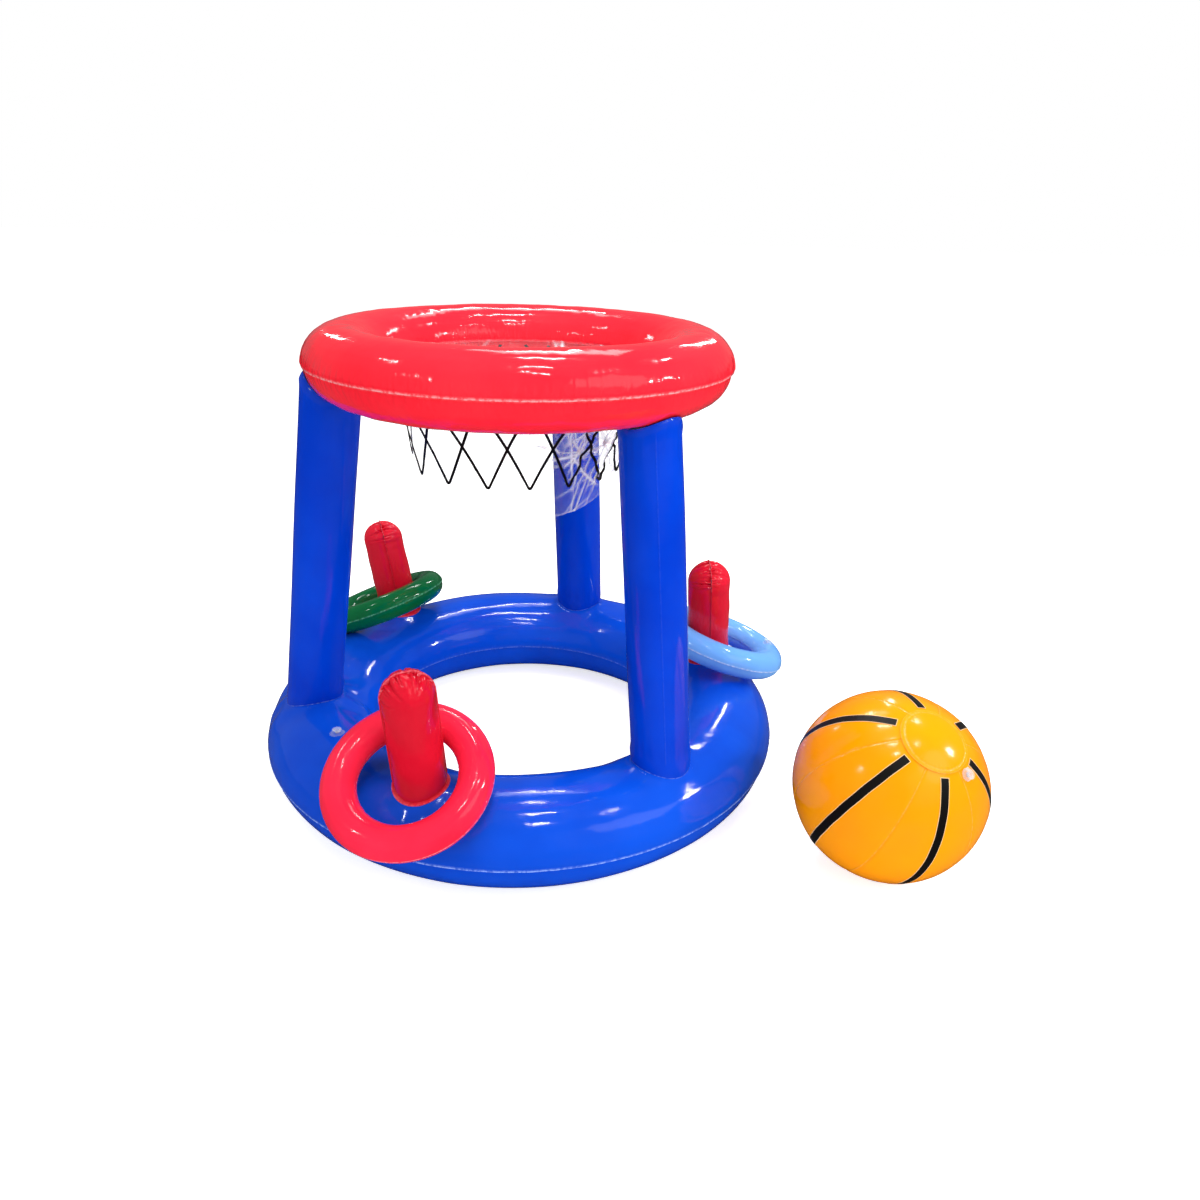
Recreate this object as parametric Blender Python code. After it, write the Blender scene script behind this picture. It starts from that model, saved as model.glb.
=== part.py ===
# Floating basketball hoop for a pool: an inflated base ring carries three leaning legs,
# a hoop ring with a clear net skirt, and three pegs for toss rings. A ball lies beside it.
# Every air chamber is a solid of its filled shape, split along its welds into film panels.
# Metres and degrees, +Z up, with the set standing on z = 0.

import math

import bmesh
import bpy
from mathutils import Matrix, Vector

# Base ring
base_outer_diameter = 0.700
base_tube_width = 0.143
base_tube_height = 0.120
base_rest_flat_depth = 0.0005
base_segments = 54
base_arc_points = 6

# Hoop ring, and the height of the whole hoop above what it stands on
overall_height = 0.600
hoop_outer_diameter = 0.520
hoop_tube_width = 0.093
hoop_tube_height = 0.0868
hoop_segments = 50
hoop_arc_points = 5

# Film, welds and clearances
weld_lip_width = 0.003
weld_lip_thickness = 0.0006
foot_lip_width = 0.0040
seam_gap = 0.0003
touch_gap = 0.0004
merge_gap_share = 0.01
sharp_edge_angle = 40.0

# Legs: place of each foot and head, as an azimuth and an offset outward from the ring's mid circle.
# The weld patch at a head reaches no further across the hoop's tube than leg_patch_reach_share
leg_diameter = 0.0735
leg_patch_reach_share = 0.86
leg_ends = {
    "foot": {"radius_share": 0.97, "shoulder_height": 0.016},
    "head": {"radius_share": 0.92, "shoulder_height": 0.010},
}
leg_shoulder_radius_share = 0.80
leg_shoulder_height_share = 0.35
leg_places = {
    "leg_left": {"foot_azimuth": 189.0, "foot_offset": 0.0144,
                 "head_azimuth": 189.0, "head_offset": 0.0120},
    "leg_front": {"foot_azimuth": -54.2, "foot_offset": 0.0089,
                  "head_azimuth": -48.4, "head_offset": -0.0060},
    "leg_back": {"foot_azimuth": 70.3, "foot_offset": 0.0089,
                 "head_azimuth": 70.3, "head_offset": 0.0110},
}
leg_sides = 22
weld_patch_shares = (0.20, 0.42, 0.62, 0.80, 0.92, 1.0)

# Pegs: azimuth, offset outward from the base's mid circle, lean as run over rise, weld azimuth
peg_diameter = 0.061
peg_height = 0.153
peg_foot_share = 0.97
peg_shoulder_height = 0.010
peg_arc_points = 7
peg_dome_steps = 5
peg_places = {
    "peg_front": {"azimuth": -114.2, "offset": 0.0033, "lean": (-0.058, -0.096), "weld": 196.0},
    "peg_back_left": {"azimuth": 131.1, "offset": 0.0120, "lean": (-0.179, 0.152), "weld": -76.0},
    "peg_back_right": {"azimuth": 10.8, "offset": 0.0051, "lean": (-0.065, -0.051), "weld": -94.0},
}

# Toss rings: each is tilted towards an azimuth and has slid towards another until it meets its peg
toss_outer_diameter = 0.196
toss_tube_diameter = 0.040
toss_lip_width = 0.0012
toss_segments = 24
toss_arc_points = 4
toss_places = {
    "red_ring": {"peg": "peg_front", "tilt": 28.0, "towards": -105.1, "slid": -117.0,
                 "valve_angle": 78.0, "valve_section": 92.0},
    "green_ring": {"peg": "peg_back_left", "tilt": 23.3, "towards": 150.1, "slid": -132.0,
                   "valve_angle": 192.0, "valve_section": 92.0},
    "light_blue_ring": {"peg": "peg_back_right", "tilt": 18.7, "towards": 15.6, "slid": 24.0,
                        "valve_angle": 1.3, "valve_section": 103.0},
}

# Net skirt: a sleeve of clear film hung from the hoop's inner weld, with a net printed on it
skirt_length = 0.1695
skirt_thickness = 0.0008
skirt_weld_rise = 0.003
skirt_foot_width = 0.266
skirt_foot_depth = 0.228
skirt_foot_shift = 0.004
skirt_taper_power = 2.2
skirt_folds = (
    {"azimuth": -22.0, "spread": 12.0, "depth": 0.011},
    {"azimuth": -52.0, "spread": 11.0, "depth": 0.004},
    {"azimuth": 96.0, "spread": 16.0, "depth": 0.006},
    {"azimuth": 205.0, "spread": 14.0, "depth": 0.003},
)
net_top_drop = 0.004
net_meshes_around = 15
net_half_mesh_height = 0.0445
net_tip_azimuth = -108.6
net_line_width = 0.0026
net_print_thickness = 0.0003

# Valves: a flange welded to the film with a short neck, and the plug that closes it
valve_flange_diameter = 0.019
small_valve_flange_diameter = 0.0145
valve_flange_thickness = 0.0006
valve_neck_diameter = 0.0100
valve_neck_height = 0.0040
valve_bore_diameter = 0.0062
valve_bore_depth = 0.0036
plug_running_gap = 0.0003
plug_cap_diameter = 0.0116
plug_cap_thickness = 0.0010
plug_tab_length = 0.0032
valve_sides = 10
base_valve_azimuth = -146.9
base_valve_section = 90.0
hoop_valve_azimuth = 100.0
hoop_valve_section = 46.0

# Ball: panels from end to end, a round end cap over each end, and a printed stripe on each panel
ball_diameter = 0.2258
ball_azimuth = -33.2
ball_clear_space = 0.0507
ball_pole_elevation = 60.0
ball_pole_azimuth = -70.0
ball_panels = 6
ball_first_stripe = 13.0
ball_panel_columns = 4
ball_panel_rows = 14
ball_stripe_width = 0.0094
ball_stripe_start = 22.7
ball_stripe_thickness = 0.0003
ball_cap_angle = 20.5
ball_cap_thickness = 0.0005
ball_valve_longitude = -68.0
ball_valve_angle = 25.2

# Sizes worked out from the ones above
base_ring = {
    "pitch": (base_outer_diameter - base_tube_width) / 2,
    "half_width": base_tube_width / 2,
    "half_height": base_tube_height / 2,
    "height": base_tube_height / 2 - base_rest_flat_depth,
}
hoop_ring = {
    "pitch": (hoop_outer_diameter - hoop_tube_width) / 2,
    "half_width": hoop_tube_width / 2,
    "half_height": hoop_tube_height / 2,
    "height": overall_height - hoop_tube_height / 2,
}
toss_ring = {
    "pitch": (toss_outer_diameter - toss_tube_diameter) / 2,
    "half_width": toss_tube_diameter / 2,
    "half_height": toss_tube_diameter / 2,
    "height": 0.0,
}
ball_radius = ball_diameter / 2

colours = {
    "blue_film": ((0.004, 0.060, 0.640), 0.18),
    "red_film": ((0.900, 0.020, 0.035), 0.18),
    "green_film": ((0.000, 0.230, 0.060), 0.20),
    "light_blue_film": ((0.130, 0.400, 1.000), 0.20),
    "clear_film": ((0.850, 0.880, 0.920), 0.08),
    "black_print": ((0.006, 0.005, 0.005), 0.45),
    "orange_film": ((1.000, 0.360, 0.000), 0.25),
    "valve_film": ((0.750, 0.820, 0.900), 0.20),
}


def make_material(name):
    colour, roughness = colours[name]
    material = bpy.data.materials.new(name)
    material.use_nodes = True
    shader = material.node_tree.nodes["Principled BSDF"]
    shader.inputs["Base Color"].default_value = (*colour, 1)
    shader.inputs["Roughness"].default_value = roughness
    shader.inputs["Metallic"].default_value = 0
    if name in ("clear_film", "valve_film"):
        shader.inputs["Alpha"].default_value = 0.35
    material.diffuse_color = (*colour, 1)
    return material


def add_object(name, mesh, film, parent, matrix=None):
    """Put a finished mesh in the scene under its parent, with its own material."""
    mesh.materials.append(make_material(film))
    mesh.materials[0].name = name + "_" + film
    mesh.shade_smooth()
    mesh.set_sharp_from_angle(angle=math.radians(sharp_edge_angle))
    piece = bpy.data.objects.new(name, mesh)
    bpy.context.collection.objects.link(piece)
    piece.parent = parent
    if matrix is not None:
        piece.matrix_local = matrix
    return piece


def add_empty(name, location, parent=None):
    empty = bpy.data.objects.new(name, None)
    bpy.context.collection.objects.link(empty)
    empty.location = location
    empty.parent = parent
    return empty


def finish_mesh(bm, name):
    """Close up doubled corners, face every side outward, and turn the bmesh into a mesh."""
    bmesh.ops.remove_doubles(bm, verts=bm.verts, dist=seam_gap * merge_gap_share)
    bmesh.ops.recalc_face_normals(bm, faces=bm.faces)
    mesh = bpy.data.meshes.new(name)
    bm.to_mesh(mesh)
    bm.free()
    return mesh


def bridge_loops(bm, loops, wrap_sides=True, wrap_ends=False):
    """Join neighbouring loops of vertices with four-sided faces."""
    pairs = list(zip(loops, loops[1:]))
    if wrap_ends:
        pairs.append((loops[-1], loops[0]))
    sides = len(loops[0])
    steps = sides if wrap_sides else sides - 1
    for lower, upper in pairs:
        for i in range(steps):
            j = (i + 1) % sides
            bm.faces.new((lower[i], lower[j], upper[j], upper[i]))


def fan(bm, centre, loop):
    for i, corner in enumerate(loop):
        bm.faces.new((centre, corner, loop[(i + 1) % len(loop)]))


def around(radius, degrees, height=0.0):
    angle = math.radians(degrees)
    return Vector((radius * math.cos(angle), radius * math.sin(angle), height))


def frame_along(axis, reference):
    """Two unit directions square to an axis, the first as near the reference as it can be."""
    first = (reference - axis * reference.dot(axis)).normalized()
    return first, axis.cross(first)


# Ring halves

def half_ring_outline(ring, side, lip_width, arc_points, flat_depth=0.0):
    """Section of a ring's upper (side 1) or lower (side -1) panel, from the tube's centre."""
    width, height = ring["half_width"], ring["half_height"]
    low = seam_gap / 2
    high = low + weld_lip_thickness
    first = math.asin(high / height)
    last = math.asin((height - flat_depth) / height)
    rises = [first + (last - first) * i / (arc_points - 1) for i in range(arc_points)]
    outer = [(width * math.cos(rise), height * math.sin(rise)) for rise in rises]
    inner = [(-x, z) for x, z in reversed(outer)]
    if flat_depth == 0:
        inner = inner[1:]
    tip = width + lip_width
    outline = [(tip, low), (tip, high)] + outer + inner + [(-tip, high), (-tip, low)]
    return [(x, side * z) for x, z in outline]


def half_ring_mesh(name, ring, side, lip_width, segments, arc_points, flat_depth=0.0):
    outline = half_ring_outline(ring, side, lip_width, arc_points, flat_depth)
    bm = bmesh.new()
    loops = []
    for segment in range(segments):
        turn = 360 * segment / segments
        loop = [bm.verts.new(around(ring["pitch"] + x, turn, z)) for x, z in outline]
        loops.append(loop)
    bridge_loops(bm, loops, wrap_ends=True)
    return finish_mesh(bm, name)


def add_ring_halves(prefix, ring, film, parent, lip_width, segments, arc_points,
                    matrix=None, flat_depth=0.0):
    names = {"_top": 1, "_bottom": -1}
    for ending, side in names.items():
        depth = flat_depth if side < 0 else 0.0
        mesh = half_ring_mesh(prefix + ending, ring, side, lip_width, segments, arc_points, depth)
        add_object(prefix + ending, mesh, film, parent, matrix)


# Landing on a ring

def ring_surface_height(ring, point, side, clearance):
    """Height of a ring's top (side 1) or underside (side -1), held off by a clearance."""
    offset = math.hypot(point.x, point.y) - ring["pitch"]
    width = ring["half_width"] + clearance
    height = ring["half_height"] + clearance
    level = max(0.0, 1 - (offset / width) ** 2)
    return ring["height"] + side * height * math.sqrt(level)


def land(ring, point, axis, side, clearance):
    """Move a point along an axis until it lies on a ring's surface."""
    spot = point.copy()
    steps = 60
    ease = 0.7
    for _ in range(steps):
        miss = ring_surface_height(ring, spot, side, clearance) - spot.z
        spot += axis * (ease * miss / axis.z)
    return spot


def landed_circle(ring, centre, axis, first, second, radius, side, clearance, sides):
    points = []
    for i in range(sides):
        angle = 2 * math.pi * i / sides
        rim = centre + (first * math.cos(angle) + second * math.sin(angle)) * radius
        points.append(land(ring, rim, axis, side, clearance))
    return points


# Legs

def leg_end_circles(ring, centre, axis, first, second, side, end, patch_shift):
    """Circles of one leg end: weld patch, weld lip, neck and rounded shoulder."""
    radius = leg_diameter / 2
    shoulder_height = end["shoulder_height"]
    end_radius = radius * end["radius_share"]
    lip_radius = end_radius + foot_lip_width
    lip_clearance = touch_gap + weld_lip_thickness
    patch = [(lip_radius * share, touch_gap, 0.0, 1.0) for share in weld_patch_shares]
    plan = patch + [
        (lip_radius, lip_clearance, 0.0, 1.0),
        (end_radius, lip_clearance, 0.0, 1.0),
        (end_radius + (radius - end_radius) * leg_shoulder_radius_share, lip_clearance,
         shoulder_height * leg_shoulder_height_share, 1 - leg_shoulder_height_share),
        (radius, lip_clearance, shoulder_height, 0.0),
    ]
    circles = []
    for circle_radius, clearance, rise, shift_share in plan:
        reach = min(circle_radius, lip_radius)
        middle = centre - first * patch_shift
        points = landed_circle(ring, middle, axis, first, second, reach, side, clearance, leg_sides)
        for i, point in enumerate(points):
            angle = 2 * math.pi * i / leg_sides
            spread = (first * math.cos(angle) + second * math.sin(angle)) * (circle_radius - reach)
            point += spread + first * (patch_shift * (1 - shift_share)) + axis * (side * rise)
        circles.append(points)
    return circles, land(ring, centre - first * patch_shift, axis, side, touch_gap)


def head_patch_shift(place):
    """How far inward of the leg's axis its head is welded, to stay on the tube's underside."""
    lip_radius = leg_diameter / 2 * leg_ends["head"]["radius_share"] + foot_lip_width
    room = max(0.0, hoop_ring["half_width"] * leg_patch_reach_share - lip_radius)
    return place["head_offset"] - max(-room, min(room, place["head_offset"]))


def leg_mesh(name, place):
    foot = around(base_ring["pitch"] + place["foot_offset"], place["foot_azimuth"],
                  base_ring["height"])
    head = around(hoop_ring["pitch"] + place["head_offset"], place["head_azimuth"],
                  hoop_ring["height"])
    axis = (head - foot).normalized()
    outward = around(1, place["head_azimuth"])
    first, second = frame_along(axis, outward)
    foot_circles, foot_middle = leg_end_circles(base_ring, foot, axis, first, second, 1,
                                                leg_ends["foot"], 0.0)
    head_circles, head_middle = leg_end_circles(hoop_ring, head, axis, first, second, -1,
                                                leg_ends["head"], head_patch_shift(place))
    bm = bmesh.new()
    circles = foot_circles + head_circles[::-1]
    loops = [[bm.verts.new(point) for point in circle] for circle in circles]
    bridge_loops(bm, loops)
    fan(bm, bm.verts.new(foot_middle), loops[0])
    fan(bm, bm.verts.new(head_middle), loops[-1])
    return finish_mesh(bm, name)


# Pegs

def peg_frame(place):
    """Foot point on the base ring's top, and the peg's leaning axis."""
    foot = around(base_ring["pitch"] + place["offset"], place["azimuth"], base_ring["height"])
    axis = Vector((*place["lean"], 1)).normalized()
    return land(base_ring, foot, axis, 1, 0.0), axis


def peg_section(radius, lip):
    """Round section with a weld lip on two opposite sides, as points (along the weld, across it)."""
    half_lip = seam_gap / 2 + weld_lip_thickness
    first = math.asin(min(1.0, half_lip / radius)) if radius > 0 else 0.0
    sweep = math.pi - 2 * first
    rises = [first + sweep * i / (peg_arc_points - 1) for i in range(peg_arc_points)]
    arc = [(radius * math.cos(rise), radius * math.sin(rise)) for rise in rises]
    tip = radius + lip
    half = [(tip, half_lip)] + arc + [(-tip, half_lip)]
    return half + [(u, -v) for u, v in reversed(half)]


def peg_foot_loops(bm, foot, along_weld, across, axis):
    """Loops of the foot, from the middle of the weld patch out to its lip and up to the shoulder."""
    radius = peg_diameter / 2
    end_radius = radius * peg_foot_share
    lip_radius = end_radius + foot_lip_width
    lip_clearance = touch_gap + weld_lip_thickness
    patch = [(lip_radius * share, 0.0, touch_gap, 0.0) for share in weld_patch_shares]
    plan = patch + [
        (lip_radius, 0.0, lip_clearance, 0.0),
        (end_radius, 0.0, lip_clearance, 0.0),
        (radius, weld_lip_width, lip_clearance, peg_shoulder_height),
    ]
    loops = []
    for circle_radius, lip, clearance, rise in plan:
        loop = []
        for u, v in peg_section(circle_radius, lip):
            rim = foot + along_weld * u + across * v
            spot = land(base_ring, rim, axis, 1, clearance)
            loop.append(bm.verts.new(spot + axis * rise))
        loops.append(loop)
    return loops


def peg_dome_loops(bm, foot, along_weld, across, axis):
    radius = peg_diameter / 2
    dome_start = peg_height - radius
    loops = []
    for step in range(peg_dome_steps + 1):
        angle = math.pi / 2 * step / peg_dome_steps
        shrink, climb = math.cos(angle), math.sin(angle)
        section = peg_section(radius * shrink, weld_lip_width * shrink)
        half_count = len(section) // 2
        loop = []
        for i, (u, v) in enumerate(section):
            on_lip = i % half_count in (0, half_count - 1)
            reach = radius + weld_lip_width if on_lip else radius
            height = dome_start + reach * climb
            loop.append(bm.verts.new(foot + along_weld * u + across * v + axis * height))
        loops.append(loop)
    return loops


def peg_panel_mesh(name, place, side):
    """One panel of a peg: the whole peg cut off at its weld plane."""
    foot, axis = peg_frame(place)
    along_weld, across = frame_along(axis, around(1, place["weld"]))
    bm = bmesh.new()
    loops = peg_foot_loops(bm, foot, along_weld, across, axis)
    loops += peg_dome_loops(bm, foot, along_weld, across, axis)
    bridge_loops(bm, loops)
    fan(bm, bm.verts.new(land(base_ring, foot, axis, 1, touch_gap)), loops[0])
    bmesh.ops.remove_doubles(bm, verts=bm.verts, dist=seam_gap * merge_gap_share)
    whole = bm.verts[:] + bm.edges[:] + bm.faces[:]
    cut_point = foot + across * (side * seam_gap / 2)
    bmesh.ops.bisect_plane(bm, geom=whole, dist=seam_gap * merge_gap_share, plane_co=cut_point,
                           plane_no=across * side, clear_inner=True)
    rim = [edge for edge in bm.edges if edge.is_boundary]
    bmesh.ops.edgeloop_fill(bm, edges=rim)
    return finish_mesh(bm, name)


# Toss rings

def ring_circle(centre, normal, radius, count):
    first, second = frame_along(normal, Vector((1, 0, 0)))
    angles = [2 * math.pi * i / count for i in range(count)]
    return [centre + (first * math.cos(a) + second * math.sin(a)) * radius for a in angles]


def gap_to_peg(points, foot, axis):
    """Least distance from a ring's mid circle to its peg's axis."""
    top = peg_height - peg_diameter / 2
    nearest = []
    for point in points:
        reach = min(max((point - foot).dot(axis), 0.0), top)
        nearest.append((point - foot - axis * reach).length)
    return min(nearest)


def gap_to_base(points):
    """Least height of a ring's tube over the base ring, measured along the base's surface normal."""
    nearest = []
    for point in points:
        offset = math.hypot(point.x, point.y) - base_ring["pitch"]
        rise = point.z - base_ring["height"]
        width = base_ring["half_width"] + toss_ring["half_width"]
        height = base_ring["half_height"] + toss_ring["half_width"]
        nearest.append(math.hypot(offset / width, rise / height) - 1)
    return min(nearest) * base_ring["half_height"]


def halve(is_high, low, high):
    """Find by halving where a test turns true between two values."""
    rounds = 40
    for _ in range(rounds):
        middle = (low + high) / 2
        if is_high(middle):
            high = middle
        else:
            low = middle
    return high


def toss_ring_rest(place):
    """Centre and normal of a toss ring that rests on the base ring and leans on its peg."""
    foot, axis = peg_frame(peg_places[place["peg"]])
    tilt = math.radians(place["tilt"])
    normal = around(math.sin(tilt), place["towards"], math.cos(tilt))
    slide = frame_along(normal, around(1, place["slid"]))[0]
    clear_of_peg = (toss_tube_diameter + peg_diameter) / 2 + toss_lip_width + touch_gap
    points_around = 72

    def slid_centre(rise):
        start = foot + axis * rise

        def touches(distance):
            points = ring_circle(start + slide * distance, normal, toss_ring["pitch"], points_around)
            return gap_to_peg(points, foot, axis) < clear_of_peg

        return start + slide * halve(touches, 0.0, toss_ring["pitch"])

    def is_clear(rise):
        points = ring_circle(slid_centre(rise), normal, toss_ring["pitch"], points_around)
        return gap_to_base(points) > touch_gap

    return slid_centre(halve(is_clear, 0.0, toss_outer_diameter)), normal


def toss_ring_matrix(place):
    centre, normal = toss_ring_rest(place)
    first, second = frame_along(normal, Vector((1, 0, 0)))
    turn = Matrix((first, second, normal)).transposed()
    return Matrix.Translation(centre) @ turn.to_4x4()


# Net skirt and its print

def skirt_radius(degrees, drop):
    """Outer radius of the skirt at an azimuth, a distance below the hoop's weld."""
    top = hoop_ring["pitch"] - hoop_ring["half_width"] - weld_lip_width - seam_gap
    angle = math.radians(degrees)
    share = min(max(drop / skirt_length, 0.0), 1.0)
    half_width, half_depth = skirt_foot_width / 2, skirt_foot_depth / 2
    foot = 1 / math.hypot(math.cos(angle) / half_width, math.sin(angle) / half_depth)
    foot -= skirt_foot_shift * math.cos(angle)
    radius = foot + (top - foot) * (1 - share) ** skirt_taper_power
    for fold in skirt_folds:
        away = (degrees - fold["azimuth"] + 180) % 360 - 180
        radius -= fold["depth"] * share * math.exp(-(away / fold["spread"]) ** 2)
    return radius


def skirt_point(column, drop, outward=0.0):
    columns = 2 * net_meshes_around
    degrees = net_tip_azimuth + 360 * column / columns
    radius = skirt_radius(degrees, drop) + outward
    return around(radius, degrees, hoop_ring["height"] - drop)


def net_drops():
    """Levels of the printed net below the weld, one to each half mesh, from just under the lip."""
    half_meshes = 3
    return [net_top_drop] + [net_half_mesh_height * (i + 1) for i in range(half_meshes)]


def skirt_mesh():
    columns = 2 * net_meshes_around
    levels = net_drops()
    hem_drop = (levels[-1] + skirt_length) / 2
    drops = [-skirt_weld_rise] + levels + [hem_drop, skirt_length]
    bm = bmesh.new()
    outer = [[bm.verts.new(skirt_point(c, drop)) for c in range(columns)] for drop in drops]
    inner = [[bm.verts.new(skirt_point(c, drop, -skirt_thickness)) for c in range(columns)]
             for drop in drops]
    for wall in (outer, inner):
        for row in range(len(drops) - 1):
            for c in range(columns):
                d = (c + 1) % columns
                corners = (wall[row][c], wall[row][d], wall[row + 1][d], wall[row + 1][c])
                start = (row + c + len(levels)) % 2
                bm.faces.new((corners[start], corners[start + 1], corners[start + 2]))
                bm.faces.new((corners[start], corners[start + 2], corners[(start + 3) % 4]))
    bridge_loops(bm, [outer[0], inner[0]])
    bridge_loops(bm, [outer[-1], inner[-1]])
    return finish_mesh(bm, "net_skirt")


def net_cells(bm):
    """Diamonds of the printed net, with half diamonds along its two ends; and the open edges' middles."""
    columns = 2 * net_meshes_around
    drops = net_drops()
    grid = [[bm.verts.new(skirt_point(c, drop, touch_gap)) for c in range(columns)] for drop in drops]
    bottom = len(drops) - 1
    open_edges = []
    for level in range(1, bottom):
        for c in range(columns):
            if (level + c + bottom) % 2:
                left, right = grid[level][c - 1], grid[level][(c + 1) % columns]
                bm.faces.new((grid[level - 1][c], left, grid[level + 1][c], right))
    for c in range(columns):
        left, right = (c - 1) % columns, (c + 1) % columns
        if c % 2:
            bm.faces.new((grid[bottom - 1][c], grid[bottom][left], grid[bottom][right]))
            open_edges.append((grid[bottom][left], grid[bottom][right]))
        if (bottom + c) % 2:
            bm.faces.new((grid[0][left], grid[1][c], grid[0][right]))
            open_edges.append((grid[0][left], grid[0][right]))
    return [(a.co + b.co) / 2 for a, b in open_edges]


def has_open_edge(strip, open_middles):
    on_edge = net_line_width * merge_gap_share
    for edge in strip.edges:
        middle = (edge.verts[0].co + edge.verts[1].co) / 2
        if any((middle - open_middle).length < on_edge for open_middle in open_middles):
            return True
    return False


def thicken_outward(bm, thickness):
    """Give a flat net its thickness, away from the hoop's middle."""
    flat_faces = list(bm.faces)
    outer_of = {}
    for vert in list(bm.verts):
        outward = Vector((vert.co.x, vert.co.y, 0)).normalized()
        outer_of[vert] = bm.verts.new(vert.co + outward * thickness)
    rim_edges = [edge for edge in bm.edges if len(edge.link_faces) == 1]
    for edge in rim_edges:
        a, b = edge.verts
        bm.faces.new((a, b, outer_of[b], outer_of[a]))
    for face in flat_faces:
        bm.faces.new([outer_of[v] for v in face.verts])


def net_print_mesh():
    """Printed net: diamonds inset by half a line, so that only the lines between them stay."""
    bm = bmesh.new()
    open_middles = net_cells(bm)
    cells = list(bm.faces)
    bmesh.ops.recalc_face_normals(bm, faces=cells)
    bmesh.ops.inset_individual(bm, faces=cells, thickness=net_line_width / 2)
    bmesh.ops.delete(bm, geom=cells, context="FACES")
    unwanted = [strip for strip in bm.faces if has_open_edge(strip, open_middles)]
    bmesh.ops.delete(bm, geom=unwanted, context="FACES")
    thicken_outward(bm, net_print_thickness)
    return finish_mesh(bm, "net_print")


# Valves

def turned_mesh(name, rings, bottom_drop):
    """Turn a list of rings (radius, height, follows the surface, tab) about the local Z axis."""
    bm = bmesh.new()
    loops = []
    for radius, height, follows, tab in rings:
        loop = []
        for i in range(valve_sides):
            angle = 2 * math.pi * i / valve_sides
            reach = radius + (tab if i == 0 else 0.0)
            x, y = reach * math.cos(angle), reach * math.sin(angle)
            fall = bottom_drop(x, y) if follows else 0.0
            loop.append(bm.verts.new((x, y, height - fall)))
        loops.append(loop)
    bridge_loops(bm, loops)
    for end in (0, -1):
        end_height = rings[end][1]
        fan(bm, bm.verts.new((0, 0, end_height)), loops[end])
    return finish_mesh(bm, name)


def ring_surface_frame(ring, azimuth, section):
    """Point, outward frame and fall of a ring's surface at an azimuth and a section angle."""
    width, height = ring["half_width"], ring["half_height"]
    turn = math.radians(section)
    reach = ring["pitch"] + width * math.cos(turn)
    point = around(reach, azimuth, ring["height"] + height * math.sin(turn))
    normal_flat = math.cos(turn) / width
    normal_rise = math.sin(turn) / height
    size = math.hypot(normal_flat, normal_rise)
    normal = around(normal_flat / size, azimuth, normal_rise / size)
    tangent = around(1, azimuth + 90)
    bend = ((width * math.sin(turn)) ** 2 + (height * math.cos(turn)) ** 2) ** 1.5 / (width * height)
    flare = normal_flat / size / reach

    def fall(x, y):
        return bend - math.sqrt(bend ** 2 - y ** 2) + flare * x ** 2 / 2

    axes = Matrix((tangent, normal.cross(tangent), normal)).transposed()
    return Matrix.Translation(point) @ axes.to_4x4(), fall


def add_valve(prefix, parent, matrix, fall, flange_diameter):
    flange, neck, bore = flange_diameter / 2, valve_neck_diameter / 2, valve_bore_diameter / 2
    flange_top = touch_gap + valve_flange_thickness
    neck_top = flange_top + valve_neck_height
    stem_rings = [
        (neck, touch_gap, True, 0.0),
        (flange, touch_gap, True, 0.0),
        (flange, flange_top, True, 0.0),
        (neck, flange_top, False, 0.0),
        (neck, neck_top, False, 0.0),
        (bore, neck_top, False, 0.0),
        (bore, neck_top - valve_bore_depth, False, 0.0),
    ]
    stem = turned_mesh(prefix + "_valve_stem", stem_rings, fall)
    add_object(prefix + "_valve_stem", stem, "valve_film", parent, matrix)
    pin = bore - plug_running_gap
    cap = plug_cap_diameter / 2
    pin_top = neck_top + plug_running_gap
    pin_bottom = neck_top - valve_bore_depth + plug_running_gap
    plug_rings = [
        (pin, pin_bottom, False, 0.0),
        (pin, pin_top, False, 0.0),
        (cap, pin_top, False, plug_tab_length),
        (cap, pin_top + plug_cap_thickness, False, plug_tab_length),
    ]
    plug = turned_mesh(prefix + "_valve_plug", plug_rings, fall)
    add_object(prefix + "_valve_plug", plug, "valve_film", parent, matrix)


# Ball

def ball_point(radius, polar, longitude):
    return around(radius * math.sin(polar), longitude, radius * math.cos(polar))


def ball_panel_mesh(name, middle):
    """One panel as a wedge of the filled ball, drawn out from the centre to leave its weld gap."""
    spread = 360 / ball_panels
    draw_out = seam_gap / 2 / math.sin(math.radians(spread / 2))
    radius = ball_radius - ball_stripe_thickness - touch_gap - draw_out
    shift = around(draw_out, middle)
    bm = bmesh.new()
    poles = [bm.verts.new(shift + Vector((0, 0, radius))), bm.verts.new(shift - Vector((0, 0, radius)))]
    columns = []
    for column in range(ball_panel_columns + 1):
        longitude = middle + spread * (column / ball_panel_columns - 0.5)
        arc = []
        for row in range(1, ball_panel_rows):
            polar = math.pi * row / ball_panel_rows
            arc.append(bm.verts.new(shift + ball_point(radius, polar, longitude)))
        columns.append(arc)
    bridge_loops(bm, columns, wrap_sides=False)
    for left, right in zip(columns, columns[1:]):
        bm.faces.new((poles[0], left[0], right[0]))
        bm.faces.new((poles[1], left[-1], right[-1]))
    for side in (columns[0], columns[-1]):
        bm.faces.new([poles[0]] + side + [poles[1]])
    return finish_mesh(bm, name)


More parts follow.
